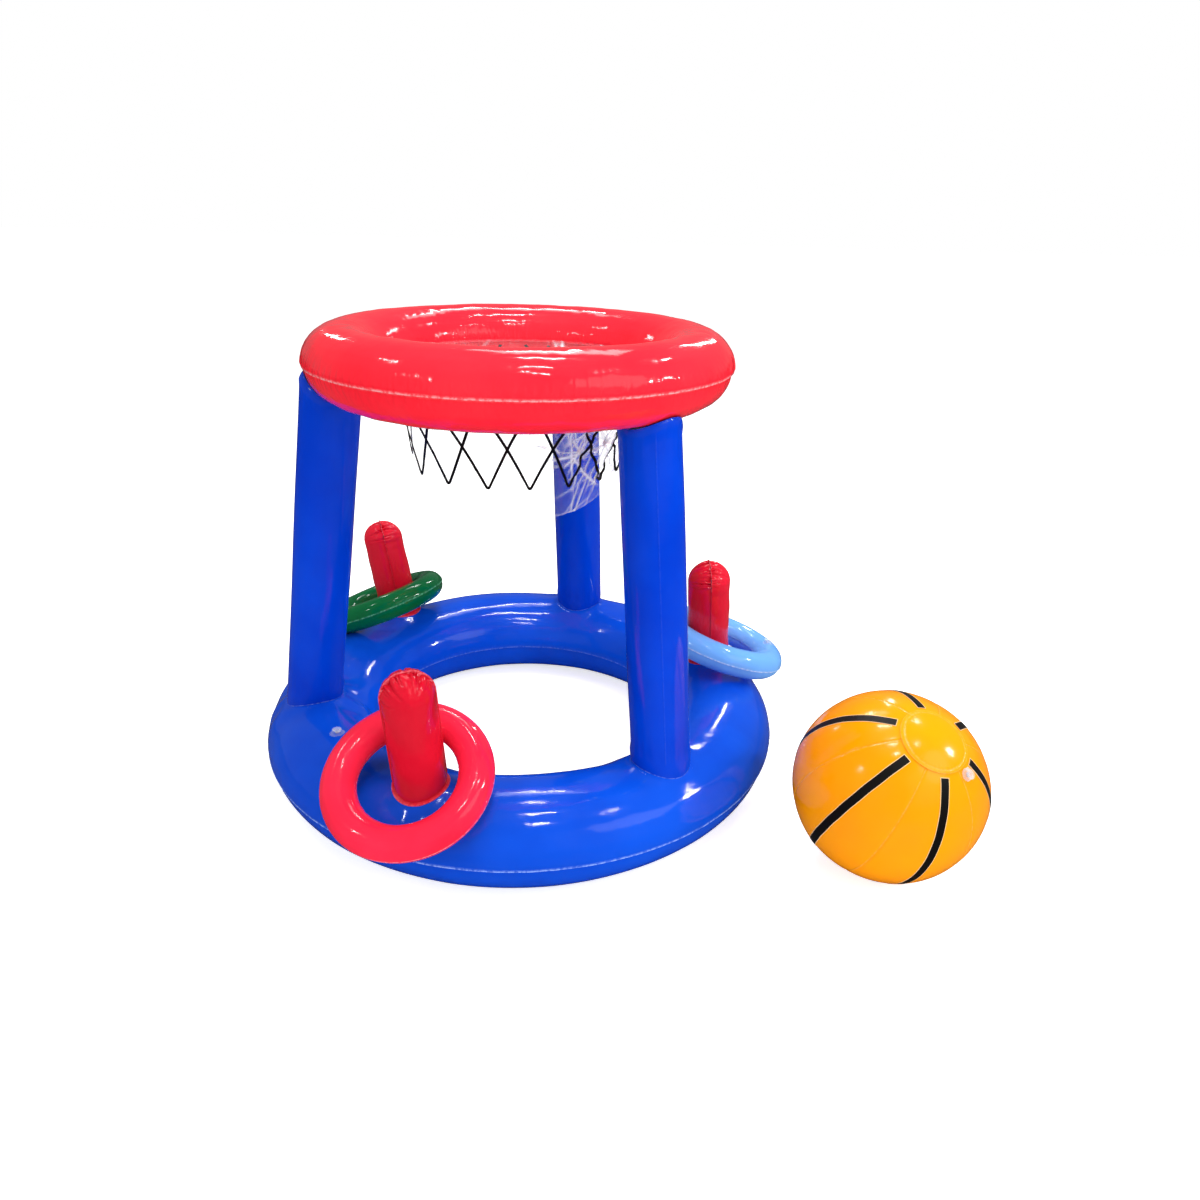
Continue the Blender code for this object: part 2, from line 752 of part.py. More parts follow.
def ball_stripe_mesh(name, longitude):
    """A printed stripe down the middle of one panel, as a thin band."""
    bottom = ball_radius - ball_stripe_thickness
    start = math.radians(ball_stripe_start)
    rows = [math.pi * row / ball_panel_rows for row in range(ball_panel_rows + 1)]
    polars = [start] + [p for p in rows if start < p < math.pi - start] + [math.pi - start]
    across = around(ball_stripe_width / 2, longitude + 90)
    bm = bmesh.new()
    loops = []
    for polar in polars:
        low = ball_point(bottom, polar, longitude)
        high = ball_point(ball_radius, polar, longitude)
        corners = (low - across, low + across, high + across, high - across)
        loops.append([bm.verts.new(corner) for corner in corners])
    bridge_loops(bm, loops)
    bm.faces.new(loops[0])
    bm.faces.new(loops[-1])
    return finish_mesh(bm, name)


def ball_cap_mesh(name, end):
    """Round cap welded over one end of the ball, following its curve."""
    inside = ball_radius - ball_stripe_thickness
    sides = ball_panels * ball_panel_columns
    edge = math.radians(ball_cap_angle)
    step = math.pi / ball_panel_rows
    polars = [step * i for i in range(1, math.ceil(edge / step))] + [edge]
    bm = bmesh.new()
    skins = []
    for radius in (inside, inside + ball_cap_thickness):
        centre = bm.verts.new((0, 0, end * radius))
        loops = []
        for polar in polars:
            points = [ball_point(radius, polar, ball_first_stripe + 360 * i / sides) for i in range(sides)]
            loops.append([bm.verts.new((p.x, p.y, end * p.z)) for p in points])
        fan(bm, centre, loops[0])
        bridge_loops(bm, loops)
        skins.append(loops[-1])
    bridge_loops(bm, skins)
    return finish_mesh(bm, name)


def ball_frame():
    """Where the ball lies, and how it has rolled: its pole leans towards the front."""
    distance = base_outer_diameter / 2 + ball_clear_space + ball_radius
    centre = around(distance, ball_azimuth, ball_radius)
    elevation = math.radians(ball_pole_elevation)
    pole = around(math.cos(elevation), ball_pole_azimuth, math.sin(elevation))
    level = Vector((0, 0, 1)).cross(pole).normalized()
    axes = Matrix((level, pole.cross(level), pole)).transposed()
    return centre, axes.to_4x4()


def ball_valve_frame():
    polar = math.radians(ball_valve_angle)
    surface = ball_radius - ball_stripe_thickness - touch_gap
    point = ball_point(surface, polar, ball_valve_longitude)
    normal = point.normalized()
    first, second = frame_along(normal, Vector((0, 0, 1)))

    def fall(x, y):
        return surface - math.sqrt(surface ** 2 - x ** 2 - y ** 2)

    axes = Matrix((first, second, normal)).transposed()
    return Matrix.Translation(point) @ axes.to_4x4(), fall


# Assembly

def build_base(parent):
    add_ring_halves("base_ring", base_ring, "blue_film", parent, weld_lip_width, base_segments,
                    base_arc_points, Matrix.Translation((0, 0, base_ring["height"])),
                    base_rest_flat_depth)
    matrix, fall = ring_surface_frame(base_ring, base_valve_azimuth, base_valve_section)
    add_valve("base", parent, matrix, fall, valve_flange_diameter)


def build_hoop(parent):
    add_ring_halves("hoop_ring", hoop_ring, "red_film", parent, weld_lip_width, hoop_segments,
                    hoop_arc_points, Matrix.Translation((0, 0, hoop_ring["height"])))
    matrix, fall = ring_surface_frame(hoop_ring, hoop_valve_azimuth, hoop_valve_section)
    add_valve("hoop", parent, matrix, fall, valve_flange_diameter)
    add_object("net_skirt", skirt_mesh(), "clear_film", parent)
    add_object("net_print", net_print_mesh(), "black_print", parent)


def build_toss_ring(name, place, parent):
    foot, axis = peg_frame(peg_places[place["peg"]])
    slide_axis = add_empty(name + "_peg_axis", foot, parent)
    matrix = Matrix.Translation(-foot) @ toss_ring_matrix(place)
    film = name.replace("_ring", "_film")
    add_ring_halves(name, toss_ring, film, slide_axis, toss_lip_width, toss_segments,
                    toss_arc_points, matrix)
    valve, fall = ring_surface_frame(toss_ring, place["valve_angle"], place["valve_section"])
    add_valve(name, slide_axis, matrix @ valve, fall, small_valve_flange_diameter)


def build_ball(parent):
    centre, axes = ball_frame()
    ball_centre = add_empty("ball_centre", centre, parent)
    for i in range(ball_panels):
        name = "ball_panel_" + str(i + 1)
        middle = ball_first_stripe + 360 * i / ball_panels
        add_object(name, ball_panel_mesh(name, middle), "orange_film", ball_centre, axes)
        stripe = "ball_stripe_" + str(i + 1)
        add_object(stripe, ball_stripe_mesh(stripe, middle), "black_print", ball_centre, axes)
    for name, end in {"ball_front_cap": 1, "ball_back_cap": -1}.items():
        add_object(name, ball_cap_mesh(name, end), "orange_film", ball_centre, axes)
    valve, fall = ball_valve_frame()
    add_valve("ball", ball_centre, axes @ valve, fall, small_valve_flange_diameter)


def stand_on_middle(set_middle):
    """Shift the set so that the origin is the middle of its footprint."""
    bpy.context.view_layer.update()
    corners = []
    for piece in bpy.data.objects:
        if piece.type == "MESH":
            corners += [piece.matrix_world @ v.co for v in piece.data.vertices]
    for axis in (0, 1):
        values = [corner[axis] for corner in corners]
        set_middle.location[axis] = -(min(values) + max(values)) / 2
    bpy.context.view_layer.update()


def main():
    for old in list(bpy.data.objects):
        bpy.data.objects.remove(old, do_unlink=True)
    set_middle = add_empty("hoop_axis", (0, 0, 0))
    build_base(set_middle)
    for name, place in leg_places.items():
        add_object(name, leg_mesh(name, place), "blue_film", set_middle)
    for name, place in peg_places.items():
        for ending, side in {"_panel_1": 1, "_panel_2": -1}.items():
            mesh = peg_panel_mesh(name + ending, place, side)
            add_object(name + ending, mesh, "red_film", set_middle)
    build_hoop(set_middle)
    for name, place in toss_places.items():
        build_toss_ring(name, place, set_middle)
    build_ball(set_middle)
    stand_on_middle(set_middle)


main()
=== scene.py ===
import math

import bmesh
import bpy
import numpy as np
from mathutils import Matrix, Vector


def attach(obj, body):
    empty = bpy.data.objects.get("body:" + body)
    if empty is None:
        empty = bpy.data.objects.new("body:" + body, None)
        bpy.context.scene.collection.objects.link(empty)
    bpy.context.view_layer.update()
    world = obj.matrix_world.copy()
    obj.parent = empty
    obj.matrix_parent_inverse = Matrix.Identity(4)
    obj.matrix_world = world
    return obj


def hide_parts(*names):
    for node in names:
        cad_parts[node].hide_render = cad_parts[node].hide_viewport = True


# Floating hoop game of welded vinyl film: base ring, three legs, hoop ring with a clear net skirt,
# three pegs with loose toss rings, and a ball beside it. Every piece is made here around the fixed frame.

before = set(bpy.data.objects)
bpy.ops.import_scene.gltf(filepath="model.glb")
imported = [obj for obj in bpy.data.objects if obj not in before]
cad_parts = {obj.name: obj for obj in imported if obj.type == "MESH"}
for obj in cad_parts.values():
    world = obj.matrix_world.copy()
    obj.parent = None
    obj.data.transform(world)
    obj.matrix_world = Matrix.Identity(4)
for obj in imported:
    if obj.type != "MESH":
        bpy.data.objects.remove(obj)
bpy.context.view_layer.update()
print("frame:", len(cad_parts), "nodes")


# Small tools shared by all pieces

def addNode(tree, kind, settings=None, inputs=None):
    # adds a node, sets its properties, and sets or links its inputs by name or number
    node = tree.nodes.new(kind)
    for name, value in (settings or {}).items():
        setattr(node, name, value)
    for name, value in (inputs or {}).items():
        if isinstance(value, bpy.types.NodeSocket):
            tree.links.new(value, node.inputs[name])
        else:
            node.inputs[name].default_value = value
    return node


def hexColour(text):
    # sRGB hex value to the linear colour that a shader takes
    channels = [int(text[i:i + 2], 16) / 255 for i in (1, 3, 5)]
    linear = [c / 12.92 if c <= 0.04045 else ((c + 0.055) / 1.055) ** 2.4 for c in channels]
    return (*linear, 1.0)


def around(radius, degrees, height=0.0):
    angle = math.radians(degrees)
    return Vector((radius * math.cos(angle), radius * math.sin(angle), height))


def frameAlong(axis, reference):
    first = (reference - axis * reference.dot(axis)).normalized()
    return first, axis.cross(first)


def waveNoise(points, spacing, seed, waves=16):
    # smooth irregular field, about -1 to 1, from plane waves of about one spacing
    random = np.random.default_rng(seed)
    total = np.zeros(len(points))
    for _ in range(waves):
        direction = random.normal(size=points.shape[1])
        direction *= 2 * math.pi / spacing * random.uniform(0.6, 1.3) / np.linalg.norm(direction)
        total += np.sin(points @ direction + random.uniform(0, 2 * math.pi))
    return total / math.sqrt(2 * waves)


def gridFaces(rows, columns, start=0, wrap=True, flip=False):
    # four-sided faces between neighbouring rows of points
    across = np.arange(columns if wrap else columns - 1)
    upper = np.arange(rows - 1)[:, None] * columns + start
    here, there = upper + across, upper + (across + 1) % columns
    quads = np.stack((here, there, there + columns, here + columns), axis=-1).reshape(-1, 4)
    return (quads[:, ::-1] if flip else quads).tolist()


def meshFromRows(name, rows, closeEnds=True, weld=None):
    # skin over closed rows of points, with a fan over each end, and the weld amount of each point
    rows = np.asarray(rows)
    count, columns = rows.shape[:2]
    points = rows.reshape(-1, 3)
    faces = gridFaces(count, columns)
    if closeEnds:
        middles = np.array([rows[0].mean(axis=0), rows[-1].mean(axis=0)])
        points = np.vstack((points, middles))
        last = (count - 1) * columns
        for i in range(columns):
            j = (i + 1) % columns
            faces.append((count * columns, j, i))
            faces.append((count * columns + 1, last + i, last + j))
    mesh = bpy.data.meshes.new(name)
    mesh.from_pydata(points.tolist(), [], faces)
    amounts = np.zeros(len(points))
    if weld is not None:
        amounts[:count * columns] = np.asarray(weld).reshape(-1)
    mesh.attributes.new("weld", "FLOAT", "POINT").data.foreach_set("value", amounts)
    return mesh


def meshPoints(mesh):
    points = np.empty(len(mesh.vertices) * 3)
    mesh.vertices.foreach_get("co", points)
    return points.reshape(-1, 3)


def setPoints(mesh, points):
    mesh.vertices.foreach_set("co", np.asarray(points).reshape(-1))
    mesh.update()


finish = {
    "mergeDistance": 0.000002,
    "sharpAngle": 42.0,
}


def finishPiece(name, mesh, material, body, slotName, replaced=None, matrix=None):
    # places the mesh, closes doubled points, faces it outward, and hands the piece to the frame
    if matrix is not None:
        mesh.transform(matrix)
    bm = bmesh.new()
    bm.from_mesh(mesh)
    bmesh.ops.remove_doubles(bm, verts=bm.verts, dist=finish["mergeDistance"])
    bmesh.ops.dissolve_degenerate(bm, edges=bm.edges, dist=finish["mergeDistance"] / 4)
    bmesh.ops.recalc_face_normals(bm, faces=bm.faces)
    if bm.calc_volume(signed=True) < 0:
        bmesh.ops.reverse_faces(bm, faces=bm.faces)
    bm.to_mesh(mesh)
    bm.free()
    mesh.shade_smooth()
    mesh.set_sharp_from_angle(angle=math.radians(finish["sharpAngle"]))
    mesh.materials.clear()
    mesh.materials.append(material)
    mesh.name = name
    piece = bpy.data.objects.new(name, mesh)
    bpy.context.scene.collection.objects.link(piece)
    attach(piece, body)
    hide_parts(*(replaced or [name.replace("_film", "")]))
    return piece


# Materials

def pvcFilm(name, colour, deep, weldHighlightColour, roughness, rippleDepth, shine=0.34):
    # calendered PVC film, welded and blown up: glossy, coloured all through, with faint roller haze.
    # The welds show lighter: they are pressed thin and clearer, and the lighter colour also paints the highlights
    # that catch on their lips, broken into dashes by a fine speckle.
    material = bpy.data.materials.new(name)
    material.use_nodes = True
    tree = material.node_tree
    shader = tree.nodes["Principled BSDF"]
    place = addNode(tree, "ShaderNodeTexCoord").outputs["Object"]
    cloud = addNode(tree, "ShaderNodeTexNoise", None, {"Vector": place, "Scale": 9.0, "Detail": 3.0})
    tint = addNode(tree, "ShaderNodeMapRange", None,
                   {"Value": cloud.outputs[0], "From Min": 0.35, "From Max": 0.65})
    body = addNode(tree, "ShaderNodeMix", {"data_type": "RGBA"},
                   {0: tint.outputs[0], 6: hexColour(deep), 7: hexColour(colour)})
    # lighter weld colour: partly the pressed film, partly a painted highlight along the lips, cut into dashes of
    # painted glint
    weld = addNode(tree, "ShaderNodeAttribute", {"attribute_name": "weld"})
    speck = addNode(tree, "ShaderNodeTexNoise", None, {"Vector": place, "Scale": 260.0, "Detail": 2.0})
    glintDashes = addNode(tree, "ShaderNodeMapRange", None,
                     {"Value": speck.outputs[0], "From Min": 0.38, "From Max": 0.58,
                      "To Min": 0.25, "To Max": 1.0})
    amount = addNode(tree, "ShaderNodeMath", {"operation": "MULTIPLY", "use_clamp": True},
                     {0: weld.outputs["Fac"], 1: glintDashes.outputs[0]})
    mixed = addNode(tree, "ShaderNodeMix", {"data_type": "RGBA"},
                    {0: amount.outputs[0], 6: body.outputs[2], 7: hexColour(weldHighlightColour)})
    tree.links.new(mixed.outputs[2], shader.inputs["Base Color"])
    haze = addNode(tree, "ShaderNodeTexNoise", None, {"Vector": place, "Scale": 34.0, "Detail": 4.0})
    gloss = addNode(tree, "ShaderNodeMapRange", None,
                    {"Value": haze.outputs[0], "From Min": 0.3, "From Max": 0.7,
                     "To Min": roughness * 0.8, "To Max": roughness * 1.3})
    tree.links.new(gloss.outputs[0], shader.inputs["Roughness"])
    shader.inputs["IOR"].default_value = 1.53
    shader.inputs["Specular IOR Level"].default_value = shine
    # grain left by the rollers about every 3 mm, and looser ripples about every 14 mm
    grain = addNode(tree, "ShaderNodeTexNoise", None, {"Vector": place, "Scale": 320.0, "Detail": 2.0})
    ripple = addNode(tree, "ShaderNodeTexNoise", None, {"Vector": place, "Scale": 70.0, "Detail": 1.0})
    fine = addNode(tree, "ShaderNodeBump", None,
                   {"Height": grain.outputs[0], "Strength": 0.10, "Distance": 0.0003})
    coarse = addNode(tree, "ShaderNodeBump", None,
                     {"Height": ripple.outputs[0], "Strength": 0.28, "Distance": rippleDepth,
                      "Normal": fine.outputs[0]})
    tree.links.new(coarse.outputs[0], shader.inputs["Normal"])
    return material


def clearFilm():
    # clear PVC film, cut and crumpled: almost unseen where flat, with painted white glints along its creases and a
    # faint painted sheen where it turns edge-on
    material = bpy.data.materials.new("clearPvcFilm")
    material.use_nodes = True
    tree = material.node_tree
    shader = tree.nodes["Principled BSDF"]
    shader.inputs["Base Color"].default_value = hexColour("#F4F8FF")
    shader.inputs["IOR"].default_value = 1.53
    shader.inputs["Roughness"].default_value = 0.09
    # the crease attribute carries painted glints, which make the film white and opaque along the creases; facing adds
    # a little painted sheen at grazing angles
    crease = addNode(tree, "ShaderNodeAttribute", {"attribute_name": "crease"})
    facing = addNode(tree, "ShaderNodeLayerWeight", None, {"Blend": 0.35})
    edge = addNode(tree, "ShaderNodeMath", {"operation": "MULTIPLY_ADD"},
                   {0: facing.outputs["Facing"], 1: 0.10, 2: 0.02})
    alpha = addNode(tree, "ShaderNodeMath", {"operation": "MULTIPLY_ADD", "use_clamp": True},
                    {0: crease.outputs["Fac"], 1: 0.85, 2: edge.outputs[0]})
    tree.links.new(alpha.outputs[0], shader.inputs["Alpha"])
    return material


def printedInk():
    # screen-printed vinyl ink: a thin black coat with a dull skin over a fine speckle
    material = bpy.data.materials.new("screenPrintedInk")
    material.use_nodes = True
    tree = material.node_tree
    shader = tree.nodes["Principled BSDF"]
    place = addNode(tree, "ShaderNodeTexCoord").outputs["Object"]
    speckle = addNode(tree, "ShaderNodeTexNoise", None, {"Vector": place, "Scale": 500.0, "Detail": 2.0})
    tone = addNode(tree, "ShaderNodeMix", {"data_type": "RGBA"},
                   {0: speckle.outputs[0], 6: hexColour("#050404"), 7: hexColour("#120E0C")})
    halo = addNode(tree, "ShaderNodeAttribute", {"attribute_name": "weld"})
    mixed = addNode(tree, "ShaderNodeMix", {"data_type": "RGBA"},
                    {0: halo.outputs["Fac"], 6: tone.outputs[2], 7: hexColour("#FFD79A")})
    tree.links.new(mixed.outputs[2], shader.inputs["Base Color"])
    shader.inputs["Specular IOR Level"].default_value = 0.25
    dull = addNode(tree, "ShaderNodeMapRange", None,
                   {"Value": speckle.outputs[0], "To Min": 0.38, "To Max": 0.52})
    tree.links.new(dull.outputs[0], shader.inputs["Roughness"])
    relief = addNode(tree, "ShaderNodeBump", None,
                     {"Height": speckle.outputs[0], "Strength": 0.2, "Distance": 0.0002})
    tree.links.new(relief.outputs[0], shader.inputs["Normal"])
    return material


def mouldedVinyl():
    # soft moulded PVC of the valves: milky, see-through at its thin edges
    material = bpy.data.materials.new("mouldedSoftVinyl")
    material.use_nodes = True
    tree = material.node_tree
    shader = tree.nodes["Principled BSDF"]
    place = addNode(tree, "ShaderNodeTexCoord").outputs["Object"]
    cloud = addNode(tree, "ShaderNodeTexNoise", None, {"Vector": place, "Scale": 180.0, "Detail": 2.0})
    tone = addNode(tree, "ShaderNodeMix", {"data_type": "RGBA"},
                   {0: cloud.outputs[0], 6: hexColour("#D4E2F2"), 7: hexColour("#F7FAFF")})
    tree.links.new(tone.outputs[2], shader.inputs["Base Color"])
    shader.inputs["Roughness"].default_value = 0.16
    shader.inputs["IOR"].default_value = 1.52
    facing = addNode(tree, "ShaderNodeLayerWeight", None, {"Blend": 0.5})
    alpha = addNode(tree, "ShaderNodeMapRange", None,
                    {"Value": facing.outputs["Facing"], "To Min": 0.08, "To Max": 0.42})
    tree.links.new(alpha.outputs[0], shader.inputs["Alpha"])
    return material


films = {
    "blue": pvcFilm("bluePvcFilm", "#0850D8", "#0546CA", "#9CBEFF", 0.10, 0.0010),
    # the legs' film is a darker copy of the base's blue: painted shade on the upright legs
    "shadedBlue": pvcFilm("deepBluePvcFilm", "#0042D2", "#0038C4", "#A4C2FF", 0.10, 0.0009),
    "red": pvcFilm("redPvcFilm", "#FF2A3A", "#FA1F32", "#FFB4B8", 0.10, 0.0009),
    # the pegs' film is a darker copy of the hoop's red: painted shade on the upright pegs
    "shadedRed": pvcFilm("deepRedPvcFilm", "#E01A34", "#D2112A", "#FF8C9C", 0.12, 0.0014),
    "rose": pvcFilm("roseRedPvcFilm", "#FB2B4B", "#F01F3E", "#FFA8B6", 0.09, 0.0009),
    "green": pvcFilm("greenPvcFilm", "#006A38", "#005C30", "#6FC79A", 0.10, 0.0009),
    "light_blue": pvcFilm("lightBluePvcFilm", "#76B4FA", "#68A6F0", "#D6E8FF", 0.09, 0.0009),
    "orange": pvcFilm("orangePvcFilm", "#FF9F00", "#FF9600", "#FFCE70", 0.14, 0.0006, 0.26),
}
clearSkirt = clearFilm()
ink = printedInk()
valveVinyl = mouldedVinyl()
print("materials done")


# Rings, read from the frame

def readRing(name, lip):
    # centre, axis and tube of a ring, from the corners of its two CAD halves
    halves = []
    for ending in ("_top", "_bottom"):
        points = np.round(meshPoints(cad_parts[name + ending].data), 6)
        halves.append(np.unique(points, axis=0))
    top, bottom = halves
    middle = top.mean(axis=0)
    normal = np.linalg.svd(top - middle, full_matrices=False)[2][2]
    if (middle - bottom.mean(axis=0)) @ normal < 0:
        normal = -normal
    seam = (((top - middle) @ normal).min() + ((bottom - middle) @ normal).max()) / 2
    centre = middle + normal * seam
    away = top - centre
    rise = away @ normal
    reach = np.linalg.norm(away - np.outer(rise, normal), axis=1)
    return {
        "centre": Vector(centre),
        "normal": Vector(normal).normalized(),
        "pitch": (reach.max() + reach.min()) / 2,
        "halfWidth": (reach.max() - reach.min()) / 2 - lip,
        "halfHeight": rise.max(),
        "lip": lip,
    }


seams = {
    "ringLip": 0.0030,
    "lipShownShare": 0.40,
    "tossLip": 0.0012,
    "lipThickness": 0.0006,
    "halfGap": 0.00006,
    "touchGap": 0.0004,
    "footLip": 0.0040,
}

rings = {name: readRing(name, seams["ringLip"]) for name in ("base_ring", "hoop_ring")}
for tossName in ("red_ring", "green_ring", "light_blue_ring"):
    rings[tossName] = readRing(tossName, seams["tossLip"])
for name in ("base_ring", "hoop_ring"):
    rings[name]["normal"] = Vector((0, 0, 1))
    rings[name]["height"] = rings[name]["centre"].z
ringMiddle = Vector((rings["base_ring"]["centre"].x, rings["base_ring"]["centre"].y, 0))
toMiddle = Matrix.Translation(ringMiddle)
baseRing, hoopRing = rings["base_ring"], rings["hoop_ring"]
print("rings read:", {name: round(ring["pitch"], 4) for name, ring in rings.items()})


def ringMatrix(ring):
    first, second = frameAlong(ring["normal"], Vector((1, 0, 0)))
    turn = Matrix((first, second, ring["normal"])).transposed()
    return Matrix.Translation(ring["centre"]) @ turn.to_4x4()


# Geometry Nodes: one film half of a ring, swept round it, with its puckers and ripples

ringInputs = (
    ("Section", "NodeSocketObject"),
    ("Film", "NodeSocketMaterial"),
    ("Steps", "NodeSocketInt"),
    ("Ring Radius", "NodeSocketFloat"),
    ("Tube Half Width", "NodeSocketFloat"),
    ("Pucker Spacing", "NodeSocketFloat"),
    ("Pucker Reach", "NodeSocketFloat"),
    ("Outer Pucker", "NodeSocketFloat"),
    ("Inner Pucker", "NodeSocketFloat"),
    ("Seam Wave", "NodeSocketFloat"),
    ("Ripple Depth", "NodeSocketFloat"),
    ("Sway Spacing", "NodeSocketFloat"),
    ("Sway Depth", "NodeSocketFloat"),
    ("Seed", "NodeSocketFloat"),
)


def buildRingTree():
    tree = bpy.data.node_groups.new("filmRing", "GeometryNodeTree")
    for name, kind in ringInputs:
        tree.interface.new_socket(name=name, in_out="INPUT", socket_type=kind)
    tree.interface.new_socket(name="Geometry", in_out="OUTPUT", socket_type="NodeSocketGeometry")
    given = addNode(tree, "NodeGroupInput").outputs
    circle = addNode(tree, "GeometryNodeCurvePrimitiveCircle", {"mode": "RADIUS"},
                     {"Resolution": given["Steps"], "Radius": given["Ring Radius"]})
    section = addNode(tree, "GeometryNodeObjectInfo", None, {"Object": given["Section"]})
    swept = addNode(tree, "GeometryNodeCurveToMesh", None,
                    {"Curve": circle.outputs["Curve"], "Profile Curve": section.outputs["Geometry"]})
    place = addNode(tree, "GeometryNodeInputPosition").outputs[0]
    level = addNode(tree, "ShaderNodeVectorMath", {"operation": "MULTIPLY"}, {0: place, 1: (1, 1, 0)})
    reach = addNode(tree, "ShaderNodeVectorMath", {"operation": "LENGTH"}, {0: level.outputs[0]})
    turn = addNode(tree, "ShaderNodeVectorMath", {"operation": "NORMALIZE"}, {0: level.outputs[0]})
    rise = addNode(tree, "ShaderNodeSeparateXYZ", None, {0: place}).outputs["Z"]
    across = addNode(tree, "ShaderNodeMath", {"operation": "SUBTRACT"},
                     {0: reach.outputs["Value"], 1: given["Ring Radius"]})
    off = addNode(tree, "ShaderNodeMath", {"operation": "ABSOLUTE"}, {0: across.outputs[0]})
    lip = addNode(tree, "ShaderNodeMath", {"operation": "GREATER_THAN"},
                  {0: off.outputs[0], 1: given["Tube Half Width"]})
    wall = addNode(tree, "ShaderNodeMath", {"operation": "SUBTRACT"}, {0: 1.0, 1: lip.outputs[0]})
    height = addNode(tree, "ShaderNodeMath", {"operation": "ABSOLUTE"}, {0: rise})
    # how near a point is to the weld: 1 on it, falling off over the pucker's reach
    away = addNode(tree, "ShaderNodeMath", {"operation": "DIVIDE"},
                   {0: height.outputs[0], 1: given["Pucker Reach"]})
    squared = addNode(tree, "ShaderNodeMath", {"operation": "POWER"}, {0: away.outputs[0], 1: 1.5})
    minus = addNode(tree, "ShaderNodeMath", {"operation": "MULTIPLY"}, {0: squared.outputs[0], 1: -1.0})
    near = addNode(tree, "ShaderNodeMath", {"operation": "EXPONENT"}, {0: minus.outputs[0]})
    # puckers: narrow grooves square to the weld, from a noise that changes fast along the ring
    turns = addNode(tree, "ShaderNodeMath", {"operation": "DIVIDE"},
                    {0: given["Ring Radius"], 1: given["Pucker Spacing"]})
    spread = addNode(tree, "ShaderNodeVectorMath", {"operation": "SCALE"},
                     {0: turn.outputs[0], "Scale": turns.outputs[0]})
    side = addNode(tree, "ShaderNodeMath", {"operation": "SIGN"}, {0: across.outputs[0]})
    seedSide = addNode(tree, "ShaderNodeMath", {"operation": "MULTIPLY_ADD"},
                       {0: side.outputs[0], 1: 7.0, 2: given["Seed"]})
    slow = addNode(tree, "ShaderNodeMath", {"operation": "MULTIPLY_ADD"},
                   {0: away.outputs[0], 1: 0.45, 2: seedSide.outputs[0]})
    lift = addNode(tree, "ShaderNodeCombineXYZ", None, {"Z": slow.outputs[0]})
    puckerPlace = addNode(tree, "ShaderNodeVectorMath", {"operation": "ADD"},
                          {0: spread.outputs[0], 1: lift.outputs[0]})
    puckerNoise = addNode(tree, "ShaderNodeTexNoise", None,
                          {"Vector": puckerPlace.outputs[0], "Scale": 1.0, "Detail": 1.5})
    centred = addNode(tree, "ShaderNodeMath", {"operation": "SUBTRACT"}, {0: puckerNoise.outputs[0], 1: 0.5})
    folded = addNode(tree, "ShaderNodeMath", {"operation": "ABSOLUTE"}, {0: centred.outputs[0]})
    groove = addNode(tree, "ShaderNodeMapRange", {"interpolation_type": "SMOOTHSTEP"},
                     {"Value": folded.outputs[0], "From Min": 0.0, "From Max": 0.09,
                      "To Min": 1.0, "To Max": 0.0})
    outside = addNode(tree, "ShaderNodeMath", {"operation": "GREATER_THAN"}, {0: across.outputs[0], 1: 0.0})
    depth = addNode(tree, "ShaderNodeMix", {"data_type": "FLOAT"},
                    {0: outside.outputs[0], 2: given["Inner Pucker"], 3: given["Outer Pucker"]})
    pucker = addNode(tree, "ShaderNodeMath", {"operation": "MULTIPLY"},
                     {0: groove.outputs[0], 1: depth.outputs[0]})
    puckerHere = addNode(tree, "ShaderNodeMath", {"operation": "MULTIPLY"},
                         {0: pucker.outputs[0], 1: near.outputs[0]})
    # ripples: long soft folds that run with the ring, as the film's own roll left them
    angle = addNode(tree, "ShaderNodeMath", {"operation": "ARCTAN2"}, {0: rise, 1: across.outputs[0]})
    tall = addNode(tree, "ShaderNodeMath", {"operation": "MULTIPLY_ADD"},
                   {0: angle.outputs[0], 1: 4.6, 2: given["Seed"]})
    rippleLift = addNode(tree, "ShaderNodeCombineXYZ", None, {"Z": tall.outputs[0]})
    longWay = addNode(tree, "ShaderNodeVectorMath", {"operation": "SCALE"},
                      {0: turn.outputs[0], "Scale": 2.6})
    ripplePlace = addNode(tree, "ShaderNodeVectorMath", {"operation": "ADD"},
                          {0: longWay.outputs[0], 1: rippleLift.outputs[0]})
    rippleNoise = addNode(tree, "ShaderNodeTexNoise", None,
                          {"Vector": ripplePlace.outputs[0], "Scale": 1.0, "Detail": 1.0})
    ripple = addNode(tree, "ShaderNodeMath", {"operation": "MULTIPLY"},
                     {0: rippleNoise.outputs[0], 1: given["Ripple Depth"]})
    # sway: the film's uneven stretch
    swayScale = addNode(tree, "ShaderNodeMath", {"operation": "DIVIDE"}, {0: 1.0, 1: given["Sway Spacing"]})
    swayNoise = addNode(tree, "ShaderNodeTexNoise", None,
                        {"Vector": place, "Scale": swayScale.outputs[0], "Detail": 2.0})
    sway = addNode(tree, "ShaderNodeMath", {"operation": "MULTIPLY"},
                   {0: swayNoise.outputs[0], 1: given["Sway Depth"]})
    soft = addNode(tree, "ShaderNodeMath", {"operation": "ADD"}, {0: ripple.outputs[0], 1: sway.outputs[0]})
    sunk = addNode(tree, "ShaderNodeMath", {"operation": "ADD"}, {0: soft.outputs[0], 1: puckerHere.outputs[0]})
    inward = addNode(tree, "ShaderNodeMath", {"operation": "MULTIPLY"},
                     {0: sunk.outputs[0], 1: wall.outputs[0]})
    pushed = addNode(tree, "ShaderNodeMath", {"operation": "MULTIPLY"}, {0: inward.outputs[0], 1: -1.0})
    normal = addNode(tree, "GeometryNodeInputNormal").outputs[0]
    move = addNode(tree, "ShaderNodeVectorMath", {"operation": "SCALE"},
                   {0: normal, "Scale": pushed.outputs[0]})
